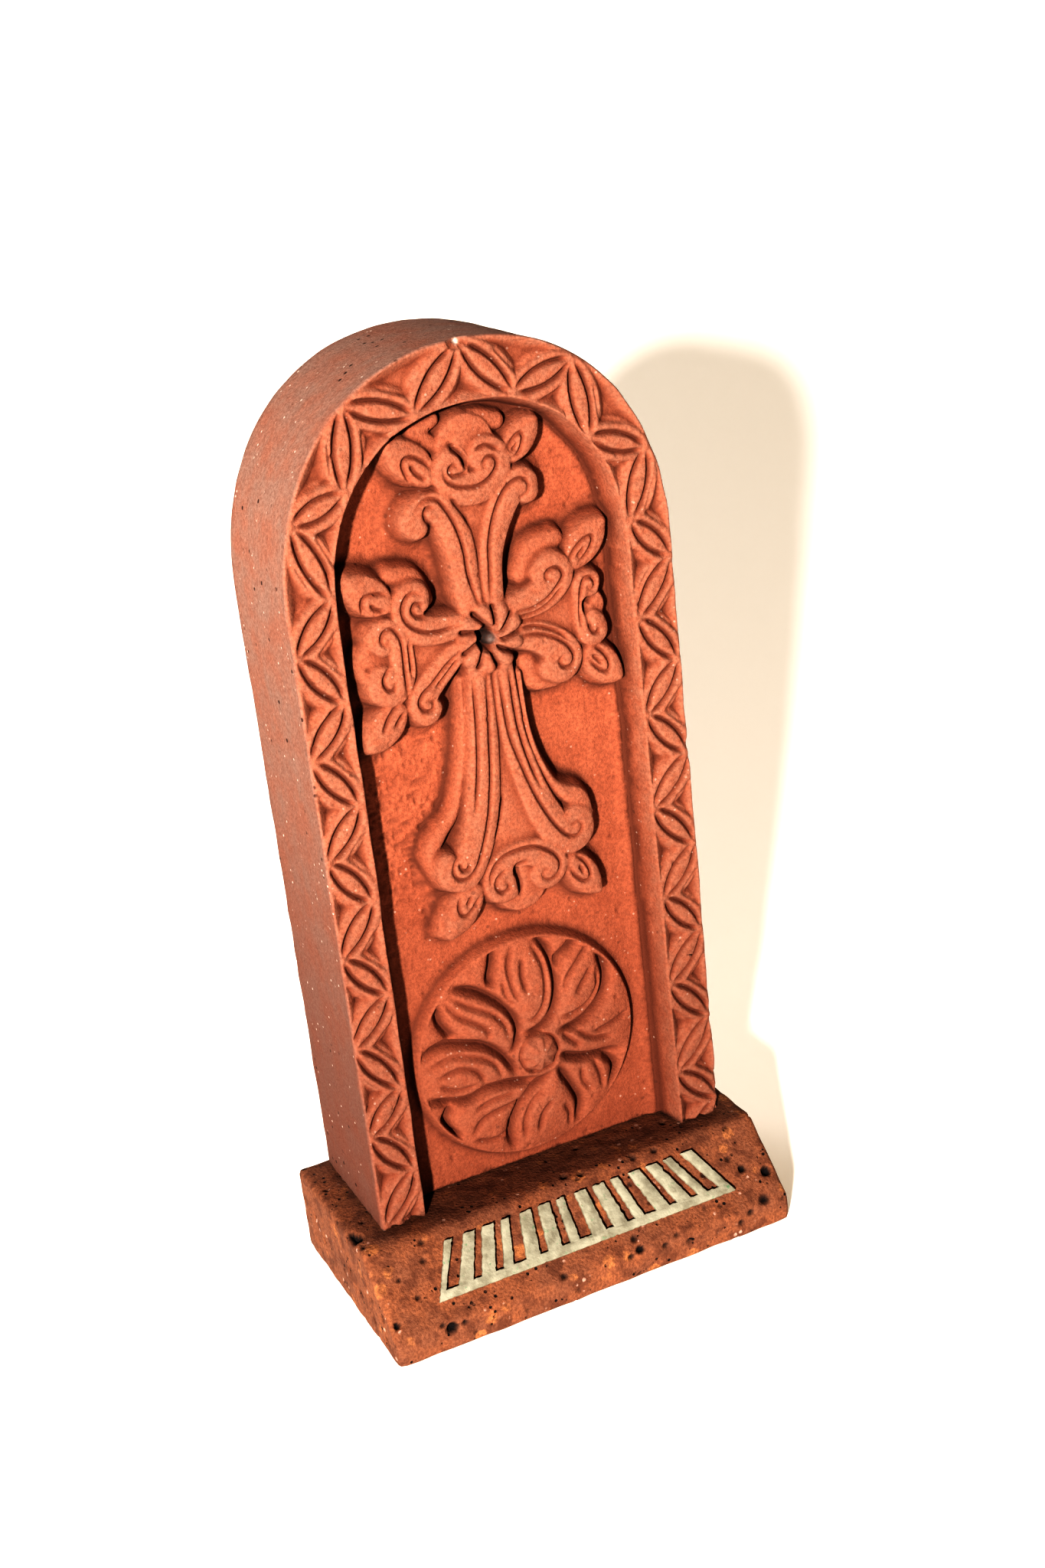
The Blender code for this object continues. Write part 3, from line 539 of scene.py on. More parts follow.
petal_edges = [
    [(2.2, 43.6), (4.4, 40), (5.4, 36), (5.5, 32), (4.6, 28.6), (2.8, 26.2), (0.2, 25.2), (-2, 25.4)],
    [(-5.6, 42.6), (-5.9, 40), (-6.6, 37.6), (-5.8, 36.2)],
    [(-13.6, 38.2), (-9.4, 36.2), (-5.8, 33.2), (-3.4, 30.2), (-2.3, 27), (-2.8, 24.4), (-4.2, 22)],
    [(-16.8, 35.4), (-16.4, 32.4), (-15, 29.8), (-14.2, 28.6)],
    [(-20.6, 27.4), (-17, 28.2), (-12.8, 27.2), (-8.6, 25.4), (-5.6, 22.4), (-4, 19.6), (-3.2, 17.8)],
    [(-20.4, 18.8), (-17, 17.4), (-13, 16.6), (-9.6, 17.4), (-6.2, 17.2), (-2.4, 16.4), (0.6, 16)],
    [(-16.2, 16.2), (-17.8, 14.4), (-17.2, 11.8), (-16, 10.4)],
    [(-5.9, 5), (-6.2, 7.4), (-5.4, 10), (-3.6, 12.6), (-0.6, 14.8), (2.6, 16.4)],
    [(6.6, 5.8), (7.5, 9), (6.6, 12), (5.2, 15), (4.2, 17)],
    [(13, 16.4), (14.6, 15), (14.9, 13), (13.8, 10.8)],
    [(4.9, 19.4), (7.4, 18), (10.4, 17.2), (13.6, 16.8), (16, 16.6)],
    [(13.6, 37.4), (14.5, 34.4), (14.8, 31.4), (13.8, 28.2), (11.2, 25.6), (8.2, 24), (5, 24)],
    [(10.4, 41), (8.2, 39), (6.6, 37.6), (6, 35)],
]
petal_lines = [
    [(1.4, 42), (3, 38), (3.4, 34), (2.8, 30.4), (1, 28), (-1.4, 27.6)],
    [(-0.6, 39.6), (-0.8, 36.4), (-0.3, 33.4)],
    [(-2.4, 42.6), (-3.2, 39), (-2.8, 35), (-1.6, 31.4)],
    [(-4.6, 37), (-3.8, 33.6), (-2.4, 30.8)],
    [(-15.4, 36.2), (-13.4, 33), (-10.6, 30.8), (-8.4, 28.8), (-7.8, 26.4)],
    [(-14.4, 36.8), (-10.8, 33.8), (-7, 31.2), (-4.9, 28.4), (-4.4, 25.8)],
    [(-18, 22.6), (-14, 23), (-11, 21.4), (-9.6, 18.8)],
    [(-18.2, 21), (-15, 19.2), (-11.6, 19)],
    [(-19.6, 25), (-15, 25.6), (-11, 24.2), (-8.2, 22.4), (-7, 20.6), (-6.4, 18.8)],
    [(-13.2, 10), (-11, 12.2), (-7, 13.1), (-2.4, 13.2)],
    [(-12.4, 14.2), (-8.6, 15.1), (-4, 15)],
    [(-13, 8.6), (-10, 7.8), (-6.8, 8)],
    [(-0.9, 6.6), (0, 9.2), (1.8, 11.2)],
    [(-3.6, 6), (-3.4, 9), (-1.6, 12), (1.4, 14.2)],
    [(4.9, 5.8), (5.2, 7.8), (4.4, 9.8)],
    [(8.3, 15.6), (8.6, 12.8), (9.8, 10.8)],
    [(11, 16.2), (11.8, 13.4), (12, 11)],
    [(11.4, 21.6), (13.4, 22), (16, 22.8), (18, 23.8)],
    [(5.6, 23.2), (7.2, 21.4), (8.6, 20)],
    [(8.4, 23), (11, 20.8), (14.6, 20)],
    [(12, 34.2), (10.2, 31.8), (8.9, 30.2)],
    [(13.1, 33.6), (13, 30.4), (11, 27.8), (8, 26.6), (5.4, 26.6)],
    [(12.2, 39), (9.6, 36), (7.6, 33.4), (6.8, 30.8)],
]


def on_dome(x, z):
    """Moves a place noted at one depth onto the dome; SIGHT is the shift for each millimetre nearer."""
    here = x, z
    for n in range(6):
        share = min(math.dist(here, DISC) / DISC_RADIUS, 1.0)
        ahead = NOTED_AT - DISC_CROWN - (DISC_EDGE - DISC_CROWN) * share**2
        here = x - ahead * SIGHT[0], z - ahead * SIGHT[1]
    return here


disc_gap = np.hypot(X - DISC[0], Z - DISC[1])
dome = DISC_CROWN + (DISC_EDGE - DISC_CROWN) * (disc_gap / DISC_RADIUS) ** 2
on_disc = disc_gap < DOME_REACH
petal_cuts = np.zeros_like(depth)
for points in petal_edges:
    cut_groove(petal_cuts, [(*on_dome(x, z), EDGE_HALF) for x, z in points], EDGE_CUT, EDGE_REACH)
pillow = PETAL_ROUND * soften(petal_cuts, PETAL_SOFT)
for points in petal_lines:
    cut_groove(petal_cuts, [(*on_dome(x, z), ROPE_HALF) for x, z in points], ROPE_CUT)
cuts = np.maximum(cuts, petal_cuts * on_disc)
depth = np.where(on_disc, dome + pillow, depth)
outside = disc_gap - RIM_INNER
rim = RIM_DEPTH + RIM_ROUND * np.clip(-outside, 0, 0.5) + RIM_WALL * np.maximum(outside - RIM_WIDE, 0)
depth = np.where(on_disc, depth, np.minimum(depth, rim))

knob_gap = np.hypot(X - KNOB[0], Z - KNOB[1])
knob_angle = np.arctan2(Z - KNOB[1], X - KNOB[0])
knob_dome = np.sqrt(1 - np.clip(knob_gap / KNOB_RADIUS, 0, 1) ** 2)
lobes = np.abs(np.sin(LOBES / 2 * knob_angle + LOBE_TURN)) * np.clip(knob_gap / LOBE_START, 0, 1)
knob = KNOB_FOOT - KNOB_HIGH * knob_dome + LOBE_CUT * lobes
moat = MOAT_DEPTH - MOAT_RISE * np.clip(knob_gap - KNOB_RADIUS, 0, 9)
depth = np.where(knob_gap < KNOB_RADIUS, knob, np.maximum(depth, moat))

# The finish of the face: pecked ground, coarsest left of the shaft, shallow pores, soft arrises, and a
# chip lost from the very top of the arch.
PECKED_FROM = 4.6
PECKED_OVER = 0.8
PECK_SIZE = 1.1
PECKING = 0.16
COARSE_PECKING = 0.4
COARSE_AT = -16.5, 70.0
COARSE_REACH = 6.5, 17.0
WAVES = (6.0, 12, 0.1), (1.7, 13, 0.06)
FACE_PORES = 420
FACE_PORE = 0.2, 0.45
PORE_DEPTH = 0.7
TOOL_SOFT = 0.1
EDGE_WEAR = 0.75
WEAR_SIZE = 3.5
WEAR_CHANGE = 0.45
CHIP_AT = -0.3, 144.0
CHIP_REACH = 1.9, 1.3
CHIP_LOST = 1.3
HOLLOW_SPREAD = 0.8
HOLLOW_GAIN = 1.7

depth = depth + cuts
coarse = np.exp(-sum(((w - at) / r) ** 4 for w, at, r in zip((X, Z), COARSE_AT, COARSE_REACH)))
ground = np.clip((depth - PECKED_FROM) / PECKED_OVER, 0, 1)
depth += (COARSE_PECKING * coarse + PECKING) * ground * np.abs(grain(PECK_SIZE, 11))
for size, seed, high in WAVES:
    depth += high * grain(size, seed)
dice = np.random.default_rng(14)
for n in range(FACE_PORES):
    spot = dice.uniform(-SLAB_HALF, SLAB_HALF), dice.uniform(0, SLAB_HEIGHT), dice.uniform(*FACE_PORE)
    for part, gap, half in close_to(np.array([spot, spot]), 0.6):
        depth[part] += PORE_DEPTH * half * np.clip(1 - (gap / half) ** 2, 0, 1)
depth = soften(depth, TOOL_SOFT)
wear = EDGE_WEAR * (1 + WEAR_CHANGE * grain(WEAR_SIZE, 15))
left_over = np.clip(slab_in / wear, 0, 1)
depth = np.maximum(depth, 0) + wear * (1 - np.sqrt(1 - (1 - left_over) ** 2))
chip_gap = np.hypot((X - CHIP_AT[0]) / CHIP_REACH[0], (Z - CHIP_AT[1]) / CHIP_REACH[1])
depth += CHIP_LOST * np.clip(1 - chip_gap, 0, 1) ** 0.6
# How far each place lies in a crease; this sets the painted shade in creases and keeps rubbed tops out of
# them.
painted_crease_shade = np.clip((depth - soften(depth, HOLLOW_SPREAD)) * HOLLOW_GAIN, -1, 1)


def sampled(field, x, z):
    """Values of a map at points of the face."""
    col = np.clip((x + SLAB_HALF) / CELL, 0, field.shape[1] - 1.001)
    row = np.clip(z / CELL, 0, field.shape[0] - 1.001)
    i, j = row.astype(int), col.astype(int)
    v, u = row - i, col - j
    low = field[i, j] * (1 - u) + field[i, j + 1] * u
    return low * (1 - v) + (field[i + 1, j] * (1 - u) + field[i + 1, j + 1] * u) * v


# The block itself: a fine skin over the map, rings back along the sides that are rough from the saw,
# and a flat back with a rounded edge. It is then thinned where it is flattest.
ROW = 0.2
COLUMNS = 321
ARCH_ROWS = 260
ARCH_LAST = 89.5
SIDE_FIRST = 1.2
SIDE_STEP = 0.9
SIDE_ROUGH = 0.16
SIDE_WAVE = 2.5
FOOT_SLACK = 0.3
FOOT_LEAST = 0.001
BACK_EDGE = 0.7
BACK_RINGS = 0.7, 0.3, 0.0
FACES_KEPT = 186000

bow = 2 / ARCH_SQUARENESS
straight = np.arange(0.0, SPRING, ROW)
angles = np.radians(np.linspace(0, ARCH_LAST, ARCH_ROWS))
row_z = np.concatenate([straight, SPRING + ARCH_RISE * np.sin(angles) ** bow])
row_half = np.concatenate([np.full_like(straight, SLAB_HALF), SLAB_HALF * np.cos(angles) ** bow])
face_x = row_half[:, None] * np.linspace(-1, 1, COLUMNS)
face_z = np.broadcast_to(row_z[:, None], face_x.shape)
face = [face_x.ravel(), sampled(depth, face_x, face_z).ravel(), face_z.ravel()]
ROWS = len(row_z)
number = np.arange(ROWS * COLUMNS).reshape(ROWS, COLUMNS)

loop = np.concatenate([number[0], number[1:, -1], number[-1, -2::-1], number[-2:0:-1, 0]])
total = len(loop)
loop_x, loop_y, loop_z = [values[loop] for values in face]
out_x = np.roll(loop_z, -1) - np.roll(loop_z, 1)
out_z = np.roll(loop_x, 1) - np.roll(loop_x, -1)
out_size = np.hypot(out_x, out_z)
out_x, out_z = out_x / out_size, out_z / out_size
walk = np.concatenate([[0], np.cumsum(np.hypot(np.diff(loop_x), np.diff(loop_z)))]) / SIDE_WAVE
backs = list(np.arange(SIDE_FIRST, SLAB_THICK - BACK_EDGE, SIDE_STEP))
backs += [SLAB_THICK - BACK_EDGE * share for share in BACK_RINGS]
dice = np.random.default_rng(21)
knots = dice.uniform(0, 1, (int(walk[-1]) + 3, len(backs)))
rings = []
for k, back in enumerate(backs):
    rough = SIDE_ROUGH * np.interp(walk, np.arange(len(knots)), knots[:, k])
    turn = max(1 - (SLAB_THICK - back) / BACK_EDGE, 0)
    tuck = BACK_EDGE * (1 - math.sqrt(max(1 - turn**2, 0)))
    inward = np.minimum(rough + tuck, np.maximum(loop_z, FOOT_LEAST) + FOOT_SLACK)
    ring_y = loop_y + (SLAB_THICK - loop_y) * (back - EDGE_WEAR) / (SLAB_THICK - EDGE_WEAR)
    rings.append(np.column_stack([loop_x - out_x * inward, ring_y, loop_z - out_z * inward]))
points = np.vstack([np.column_stack(face)] + rings)
points[:, 2] = np.maximum(points[:, 2], 0.0)
points = points * MM + np.array([(slab_low.x + slab_high.x) / 2, slab_low.y, slab_low.z])

around_cell = number[:-1, :-1], number[:-1, 1:], number[1:, 1:], number[1:, :-1]
skin = [np.column_stack([corner.ravel() for corner in around_cell])]
ring_ids = [loop] + [ROWS * COLUMNS + total * k + np.arange(total) for k in range(len(backs))]
for near, far in zip(ring_ids, ring_ids[1:]):
    skin.append(np.column_stack([np.roll(near, -1), near, far, np.roll(far, -1)]))
last = ring_ids[-1].tolist()
left = [last[(total - i) % total] for i in range(ROWS)]
right = [last[COLUMNS - 1 + i] for i in range(ROWS)]
top_row = [last[(total - (ROWS - 1) - k) % total] for k in range(COLUMNS)]
back_faces = [(left[i], left[i + 1], right[i + 1], right[i]) for i in range(1, ROWS - 2)]
back_faces.append([left[1], right[1]] + [last[k] for k in range(COLUMNS - 1, -1, -1)])
back_faces.append([left[ROWS - 2]] + top_row + [right[ROWS - 2]])


def placed(name, data):
    """A new object that holds a mesh, a light or a camera, linked into the scene."""
    made = bpy.data.objects.new(name, data)
    bpy.context.scene.collection.objects.link(made)
    return made


def mesh_piece(name, verts, polygons):
    """A smooth shaded piece made from points and faces."""
    mesh = bpy.data.meshes.new(name)
    mesh.from_pydata([tuple(v) for v in verts], [], polygons)
    mesh.validate()
    mesh.shade_smooth()
    return placed(name, mesh)


def settle(piece):
    """Applies a piece's modifiers, so that its mesh is the finished one."""
    evaluated = piece.evaluated_get(bpy.context.evaluated_depsgraph_get())
    finished = bpy.data.meshes.new_from_object(evaluated)
    piece.modifiers.clear()
    piece.data = finished
    finished.shade_smooth()
    return finished


def vertex_values(vertices, what):
    """Reads three numbers for each vertex, one row each."""
    flat = np.empty(len(vertices) * 3)
    vertices.foreach_get(what, flat)
    return flat.reshape(-1, 3)


def keep_values(mesh, name, values):
    """Stores a number for each vertex under a name that the material reads."""
    mesh.attributes.new(name, "FLOAT", "POINT").data.foreach_set("value", values)


def fading(values, start, fall):
    """A share of 0 to 1 that falls as the values rise."""
    return np.clip(start - fall * values, 0, 1)


polygons = np.vstack(skin).tolist() + back_faces
carving = mesh_piece("carved_slab", points.tolist(), polygons)
thin = carving.modifiers.new("fewer faces", "DECIMATE")
thin.ratio = FACES_KEPT / sum(len(p) - 2 for p in polygons)
stone = settle(carving)

FACE_FADE = 1.6, 2.0
ARRIS_BAND = 0.5
PROUD_FADE = 1.25, 1 / 4.2
OPEN_FADE = 0.8, 1.4
NUB_FADE = 1.2, 1.0
HOLE_FADE = 2.6, 1.6
CHIP_FADE = 1.3, 2.0
CHIP_BACK = 1.6
x, y, z = vertex_values(stone.vertices, "co").T
x = (x - (slab_low.x + slab_high.x) / 2) / MM
y = (y - slab_low.y) / MM
z = (z - slab_low.z) / MM
deep, dip = sampled(depth, x, z), sampled(painted_crease_shade, x, z)
on_face = fading(np.abs(y - deep), *FACE_FADE) * np.clip(sampled(slab_in, x, z) / ARRIS_BAND, 0, 1)
chip_near = np.hypot(x - CHIP_AT[0], z - CHIP_AT[1])
keep_values(stone, "face", on_face)
keep_values(stone, "proud", fading(deep, *PROUD_FADE) * fading(dip, *OPEN_FADE) * on_face)
# Painted shade in creases and grooves follows this share.
keep_values(stone, "painted_crease_shade", np.clip(dip, 0, 1) * on_face)
keep_values(stone, "nub", fading(sampled(nub_gap, x, z), *NUB_FADE) * on_face)
# The deep hollow at the hub is painted near-black as shade.
keep_values(stone, "painted_hole_shade", fading(sampled(hollow_gap, x, z), *HOLE_FADE) * on_face)
keep_values(stone, "chip", fading(chip_near, *CHIP_FADE) * (y < CHIP_BACK))


def feed(tree, socket, value):
    """Links an input to a node's output, or sets it to a number or a colour."""
    if isinstance(value, bpy.types.NodeSocket):
        tree.links.new(value, socket)
    else:
        socket.default_value = (*value, 1.0) if isinstance(value, tuple) else value


def join(tree, kind, *links, **settings):
    """A shader node with its settings, and its inputs linked or set in order."""
    made = tree.nodes.new(kind)
    for key, value in settings.items():
        setattr(made, key, value)
    for socket, value in zip(made.inputs, links):
        feed(tree, socket, value)
    return made


def mixed(tree, factor, under, over):
    """One colour laid over another by a factor."""
    made = join(tree, "ShaderNodeMix", data_type="RGBA")
    for n, value in ((0, factor), (6, under), (7, over)):
        feed(tree, made.inputs[n], value)
    return made.outputs[2]


def noise(tree, place, size, detail=3.0, rough=0.55):
    """Noise with grains of a size in millimetres."""
    made = join(tree, "ShaderNodeTexNoise", place)
    for key, value in (("Scale", 1 / (size * MM)), ("Detail", detail), ("Roughness", rough)):
        made.inputs[key].default_value = value
    return made.outputs["Fac"]


def cells(tree, place, apart):
    """Distance to the nearest of scattered points that are a few millimetres apart."""
    made = join(tree, "ShaderNodeTexVoronoi", place)
    made.inputs["Scale"].default_value = 1 / (apart * MM)
    return made.outputs["Distance"]


def ramp(tree, value, low, high, bottom=0.0, top=1.0):
    """A value stretched from low..high to bottom..top and held there."""
    return join(tree, "ShaderNodeMapRange", value, low, high, bottom, top).outputs[0]


def patches(tree, place, size, low, high, bottom=0.0, top=1.0, detail=3.0, rough=0.55):
    """Soft-edged patches of a size in millimetres."""
    return ramp(tree, noise(tree, place, size, detail, rough), low, high, bottom, top)


def arithmetic(tree, how, one, other):
    """Two values added, multiplied and so on."""
    return join(tree, "ShaderNodeMath", one, other, operation=how).outputs[0]


def times(tree, one, other):
    """Two values multiplied."""
    return arithmetic(tree, "MULTIPLY", one, other)


def spots(tree, place, apart, outer, inner, cluster, low, high, frayed=None):
    """Scattered spots, fading from inner to outer, in clusters; frayed roughens their outline."""
    reach = cells(tree, place, apart)
    if frayed:
        reach = arithmetic(tree, "ADD", reach, times(tree, noise(tree, place, frayed[0]), frayed[1]))
    return times(tree, ramp(tree, reach, outer, inner), patches(tree, place, cluster, low, high))


def attribute(tree, name):
    """A number stored for each vertex."""
    return join(tree, "ShaderNodeAttribute", attribute_name=name).outputs["Fac"]


def bare_material(name, roughness):
    """A material with nothing on it yet: its tree, its shader and the piece's own coordinates."""
    material = bpy.data.materials.new(name)
    material.use_nodes = True
    tree = material.node_tree
    shader = tree.nodes["Principled BSDF"]
    shader.inputs["Roughness"].default_value = roughness
    shader.inputs["Specular IOR Level"].default_value = 0.25
    place = tree.nodes.new("ShaderNodeTexCoord").outputs["Object"]
    return material, tree, shader, place


def dress(piece, material, tree, shader, colour, height, bump_mm):
    """Ends a material with its colour and a bump of a depth in millimetres, and puts it on a piece."""
    tree.links.new(colour, shader.inputs["Base Color"])
    bump = tree.nodes.new("ShaderNodeBump")
    bump.inputs["Distance"].default_value = bump_mm * MM
    tree.links.new(height, bump.inputs["Height"])
    tree.links.new(bump.outputs["Normal"], shader.inputs["Normal"])
    piece.data.materials.clear()
    piece.data.materials.append(material)


FRESH_CUT = (0.32, 0.113, 0.065)
HANDLED = (0.28, 0.130, 0.088)
DEEP = (0.21, 0.062, 0.033)
# Painted shade, for the carving's creases and for the plinth's top at the slab's foot.
PAINTED_SHADE = (0.04, 0.013, 0.008)
SAWN = (0.27, 0.168, 0.136)
SPECK = (0.60, 0.50, 0.44)
# Near-black painted shade in the hub's hollow.
PAINTED_HOLE_BLACK = (0.01, 0.006, 0.005)
NUB_GREY = (0.16, 0.13, 0.12)
# Painted shade, darker towards the foot of the block.
PAINTED_FOOT_SHADE = (0.085, 0.022, 0.012)
# Painted shade, darker towards the foot of the sides.
PAINTED_SIDE_FOOT_SHADE = (0.085, 0.028, 0.018)
# Painted shade in pores.
PAINTED_PORE_SHADE = (0.03, 0.015, 0.012)
GRAIN_DARK = (0.10, 0.032, 0.020)
CLOUDS = dict(size=7.0, detail=4.0, rough=0.6)
FINE_GRAIN = dict(size=0.55, rough=0.65)
FINEST_GRAIN = dict(size=0.2, detail=2.0)
RUBBED = dict(size=1.6, low=0.3, high=0.6, bottom=0.45)
OPEN_PORES = dict(apart=3.1, outer=0.13, inner=0.09, cluster=6.0, low=0.5, high=0.56)
WHITE_FLECKS = dict(apart=1.5, outer=0.16, inner=0.1, cluster=4.0, low=0.52, high=0.6)
PAINTED_FOOT_SHADE_RISE = 0.090, 0.040
PAINTED_SIDE_FOOT_SHADE_RISE = 0.135, 0.030
CREASE_SHADE_SHARE = 0.75
FINEST_SHARE = 0.5

carved_tuff, tree, shader, place = bare_material("carved_tuff", roughness=0.92)
on_front = attribute(tree, "face")
cloud = noise(tree, place, **CLOUDS)
fine = noise(tree, place, **FINE_GRAIN)
height = join(tree, "ShaderNodeSeparateXYZ", place).outputs[2]
carved = mixed(tree, ramp(tree, cloud, 0.35, 0.7, top=0.5), FRESH_CUT, DEEP)
rubbed = times(tree, attribute(tree, "proud"), patches(tree, place, **RUBBED))
carved = mixed(tree, rubbed, carved, HANDLED)
# Painted shade in creases and grooves, darkest where the carving is most hollow.
carved = mixed(tree, times(tree, attribute(tree, "painted_crease_shade"), CREASE_SHADE_SHARE), carved, PAINTED_SHADE)
sawn = mixed(tree, ramp(tree, cloud, 0.4, 0.65, top=0.45), SAWN, FRESH_CUT)
colour = mixed(tree, on_front, sawn, carved)
# The hub's hollow is painted near-black as shade; the nub's grey and the chip's pale colour are their own.
for name, shade in (("painted_hole_shade", PAINTED_HOLE_BLACK), ("nub", NUB_GREY), ("chip", SPECK)):
    colour = mixed(tree, attribute(tree, name), colour, shade)
# Painted shade: the block grows darker towards its foot.
colour = mixed(tree, ramp(tree, height, *PAINTED_FOOT_SHADE_RISE, top=0.34), colour, PAINTED_FOOT_SHADE)
# Painted shade: the sides grow darker towards the foot.
side_foot_shade = arithmetic(tree, "SUBTRACT", ramp(tree, height, *PAINTED_SIDE_FOOT_SHADE_RISE, top=0.5), on_front)
colour = mixed(tree, arithmetic(tree, "MAXIMUM", side_foot_shade, 0.0), colour, PAINTED_SIDE_FOOT_SHADE)
# Painted shade in pores: dark spots, more of them on the sides than on the face.
painted_pore_shade = times(tree, spots(tree, place, **OPEN_PORES), ramp(tree, on_front, 0.0, 1.0, 1.0, 0.35))
colour = mixed(tree, painted_pore_shade, colour, PAINTED_PORE_SHADE)
colour = mixed(tree, ramp(tree, fine, 0.38, 0.66, top=0.42), colour, GRAIN_DARK)
fleck = times(tree, spots(tree, place, **WHITE_FLECKS), ramp(tree, on_front, 0.0, 1.0, 0.8, 0.25))
colour = mixed(tree, fleck, colour, SPECK)
bumps = arithmetic(tree, "ADD", fine, times(tree, noise(tree, place, **FINEST_GRAIN), FINEST_SHARE))
dress(carving, carved_tuff, tree, shader, colour, bumps, bump_mm=0.16)
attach(carving, "root")
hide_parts("slab")

# The plinth is a second, coarser block of tuff that the slab is glued on, sawn with a sloping front above
# a low lip. Its arrises are worn, and the stone has open pits and clasts of other shades.
plinth_low, plinth_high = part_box("plinth")
PLINTH_DEEP = (plinth_high.y - plinth_low.y) / MM
PLINTH_HALF = (plinth_high.x - plinth_low.x) / MM / 2
PLINTH_HIGH = (plinth_high.z - plinth_low.z) / MM
LIP = 5.2
SLOPE_RUN = 11.5
PLINTH_GRAIN = 0.42
ARRIS = 1.0
SMALL_PITS = 150
SMALL_PIT = 0.45, 0.8
SMALL_PIT_DEPTH = 0.8
PIT_DEPTH = 1.35
SKIN_WAVES = 24
SKIN_WAVE_TURN = 0.9
SKIN_SWELL = 0.3
SKIN_LOST = 0.12
CORNER_REACH = 2.6
CORNER_BAND = 1.5
# The larger pits: across, back and up from the middle of the foot, then half width and depth
PITS = (
    (-37.3, -2.6, 14.8, 0.9, 0.8), (-37.0, -5.0, 16.6, 1.5, 1.0), (-37.5, -3.6, 16.6, 1.2, 0.9),
    (-27.7, -21.5, 4.4, 1.15, 1.1), (-29.2, -21.3, 5.6, 0.6, 0.5), (-36.5, -19.4, 7.5, 0.75, 0.7),
    (-25.4, -21.5, 4.6, 0.55, 0.5), (8.1, -21.4, 5.6, 0.95, 0.9), (31.7, -16.4, 10.4, 0.8, 0.7),
    (35.8, -17.8, 9.1, 1.05, 0.9), (33.2, -21.1, 5.9, 1.2, 0.5), (-33.4, -14.5, 12.2, 0.5, 0.5),
    (-31.5, -17.2, 9.6, 0.55, 0.5), (2.5, -10.4, 16.3, 0.6, 0.6), (12.5, -10.5, 16.2, 0.5, 0.5),
)


def shaped(name, shape):
    """A piece made from an edited shape."""
    mesh = bpy.data.meshes.new(name)
    shape.to_mesh(mesh)
    shape.free()
    return placed(name, mesh)


def pitted(at, centre, wide, deep, power=1.0):
    """How deep a round pit goes at each of the points."""
    gap = np.linalg.norm(at - np.array(centre), axis=1)
    return deep * np.clip(1 - (gap / wide) ** 2, 0, 1) ** power


outline = [(0.0, 0.0), (0.0, LIP), (SLOPE_RUN, PLINTH_HIGH), (PLINTH_DEEP, PLINTH_HIGH), (PLINTH_DEEP, 0.0)]
block = bmesh.new()
ends = []
for x_end in (-PLINTH_HALF, PLINTH_HALF):
    ends.append([block.verts.new((x_end * MM, plinth_low.y + y * MM, z * MM)) for y, z in outline])
block.faces.new(ends[0])
block.faces.new(ends[1][::-1])
for k in range(len(outline)):
    n = (k + 1) % len(outline)
    block.faces.new((ends[0][k], ends[1][k], ends[1][n], ends[0][n]))
bmesh.ops.recalc_face_normals(block, faces=block.faces)
bmesh.ops.bevel(block, geom=block.edges[:], offset=ARRIS * MM, segments=3, affect="EDGES", profile=0.5)
bmesh.ops.translate(block, verts=block.verts, vec=((plinth_low.x + plinth_high.x) / 2, 0, plinth_low.z))
plinth_stone = shaped("plinth_stone", block)
fine_skin = plinth_stone.modifiers.new("fine skin", "REMESH")
fine_skin.mode = "VOXEL"
fine_skin.voxel_size = PLINTH_GRAIN * MM
mesh = settle(plinth_stone)

at = vertex_values(mesh.vertices, "co") / MM
normals = vertex_values(mesh.vertex_normals, "vector")
dice = np.random.default_rng(31)
sunk = np.zeros(len(at))
for n in range(SMALL_PITS):
    centre = at[dice.integers(len(at))]
    wide = dice.uniform(*SMALL_PIT)
    sunk = np.maximum(sunk, pitted(at, centre, wide, SMALL_PIT_DEPTH * wide))
for *centre, wide, deep in PITS:
    sunk = np.maximum(sunk, pitted(at, centre, wide, PIT_DEPTH * deep, 0.7))
waves = [(dice.normal(0, SKIN_WAVE_TURN, 3), dice.uniform(0, 6.3)) for n in range(SKIN_WAVES)]
swell = sum(np.sin(at @ turn + phase) for turn, phase in waves) / SKIN_WAVES
at -= normals * (sunk + SKIN_LOST + SKIN_SWELL * swell.clip(-0.4, 0.4))[:, None]
at[:, 2] = np.maximum(at[:, 2], plinth_low.z / MM)
mesh.vertices.foreach_set("co", (at * MM).ravel())
# A share that falls away from the slab's foot across the plinth's top; it sets painted shade in that corner.
past_side = np.maximum(np.abs(at[:, 0]) - SLAB_HALF, 0)
past_front = np.maximum(slab_low.y / MM - at[:, 1], 0)
corner = np.exp(-np.hypot(past_side, past_front) / CORNER_REACH)
keep_values(mesh, "corner", corner * (at[:, 2] > PLINTH_HIGH - CORNER_BAND))
# The pits' share sets the painted shade in them.
keep_values(mesh, "pit_painted_shade", np.clip(sunk * 1.6, 0, 1))
mesh.update()

COARSE = (0.20, 0.090, 0.054)
RUSTY = (0.26, 0.108, 0.056)
OCHRE = (0.40, 0.18, 0.08)
DULL = (0.10, 0.040, 0.024)
ROSY = (0.50, 0.33, 0.27)
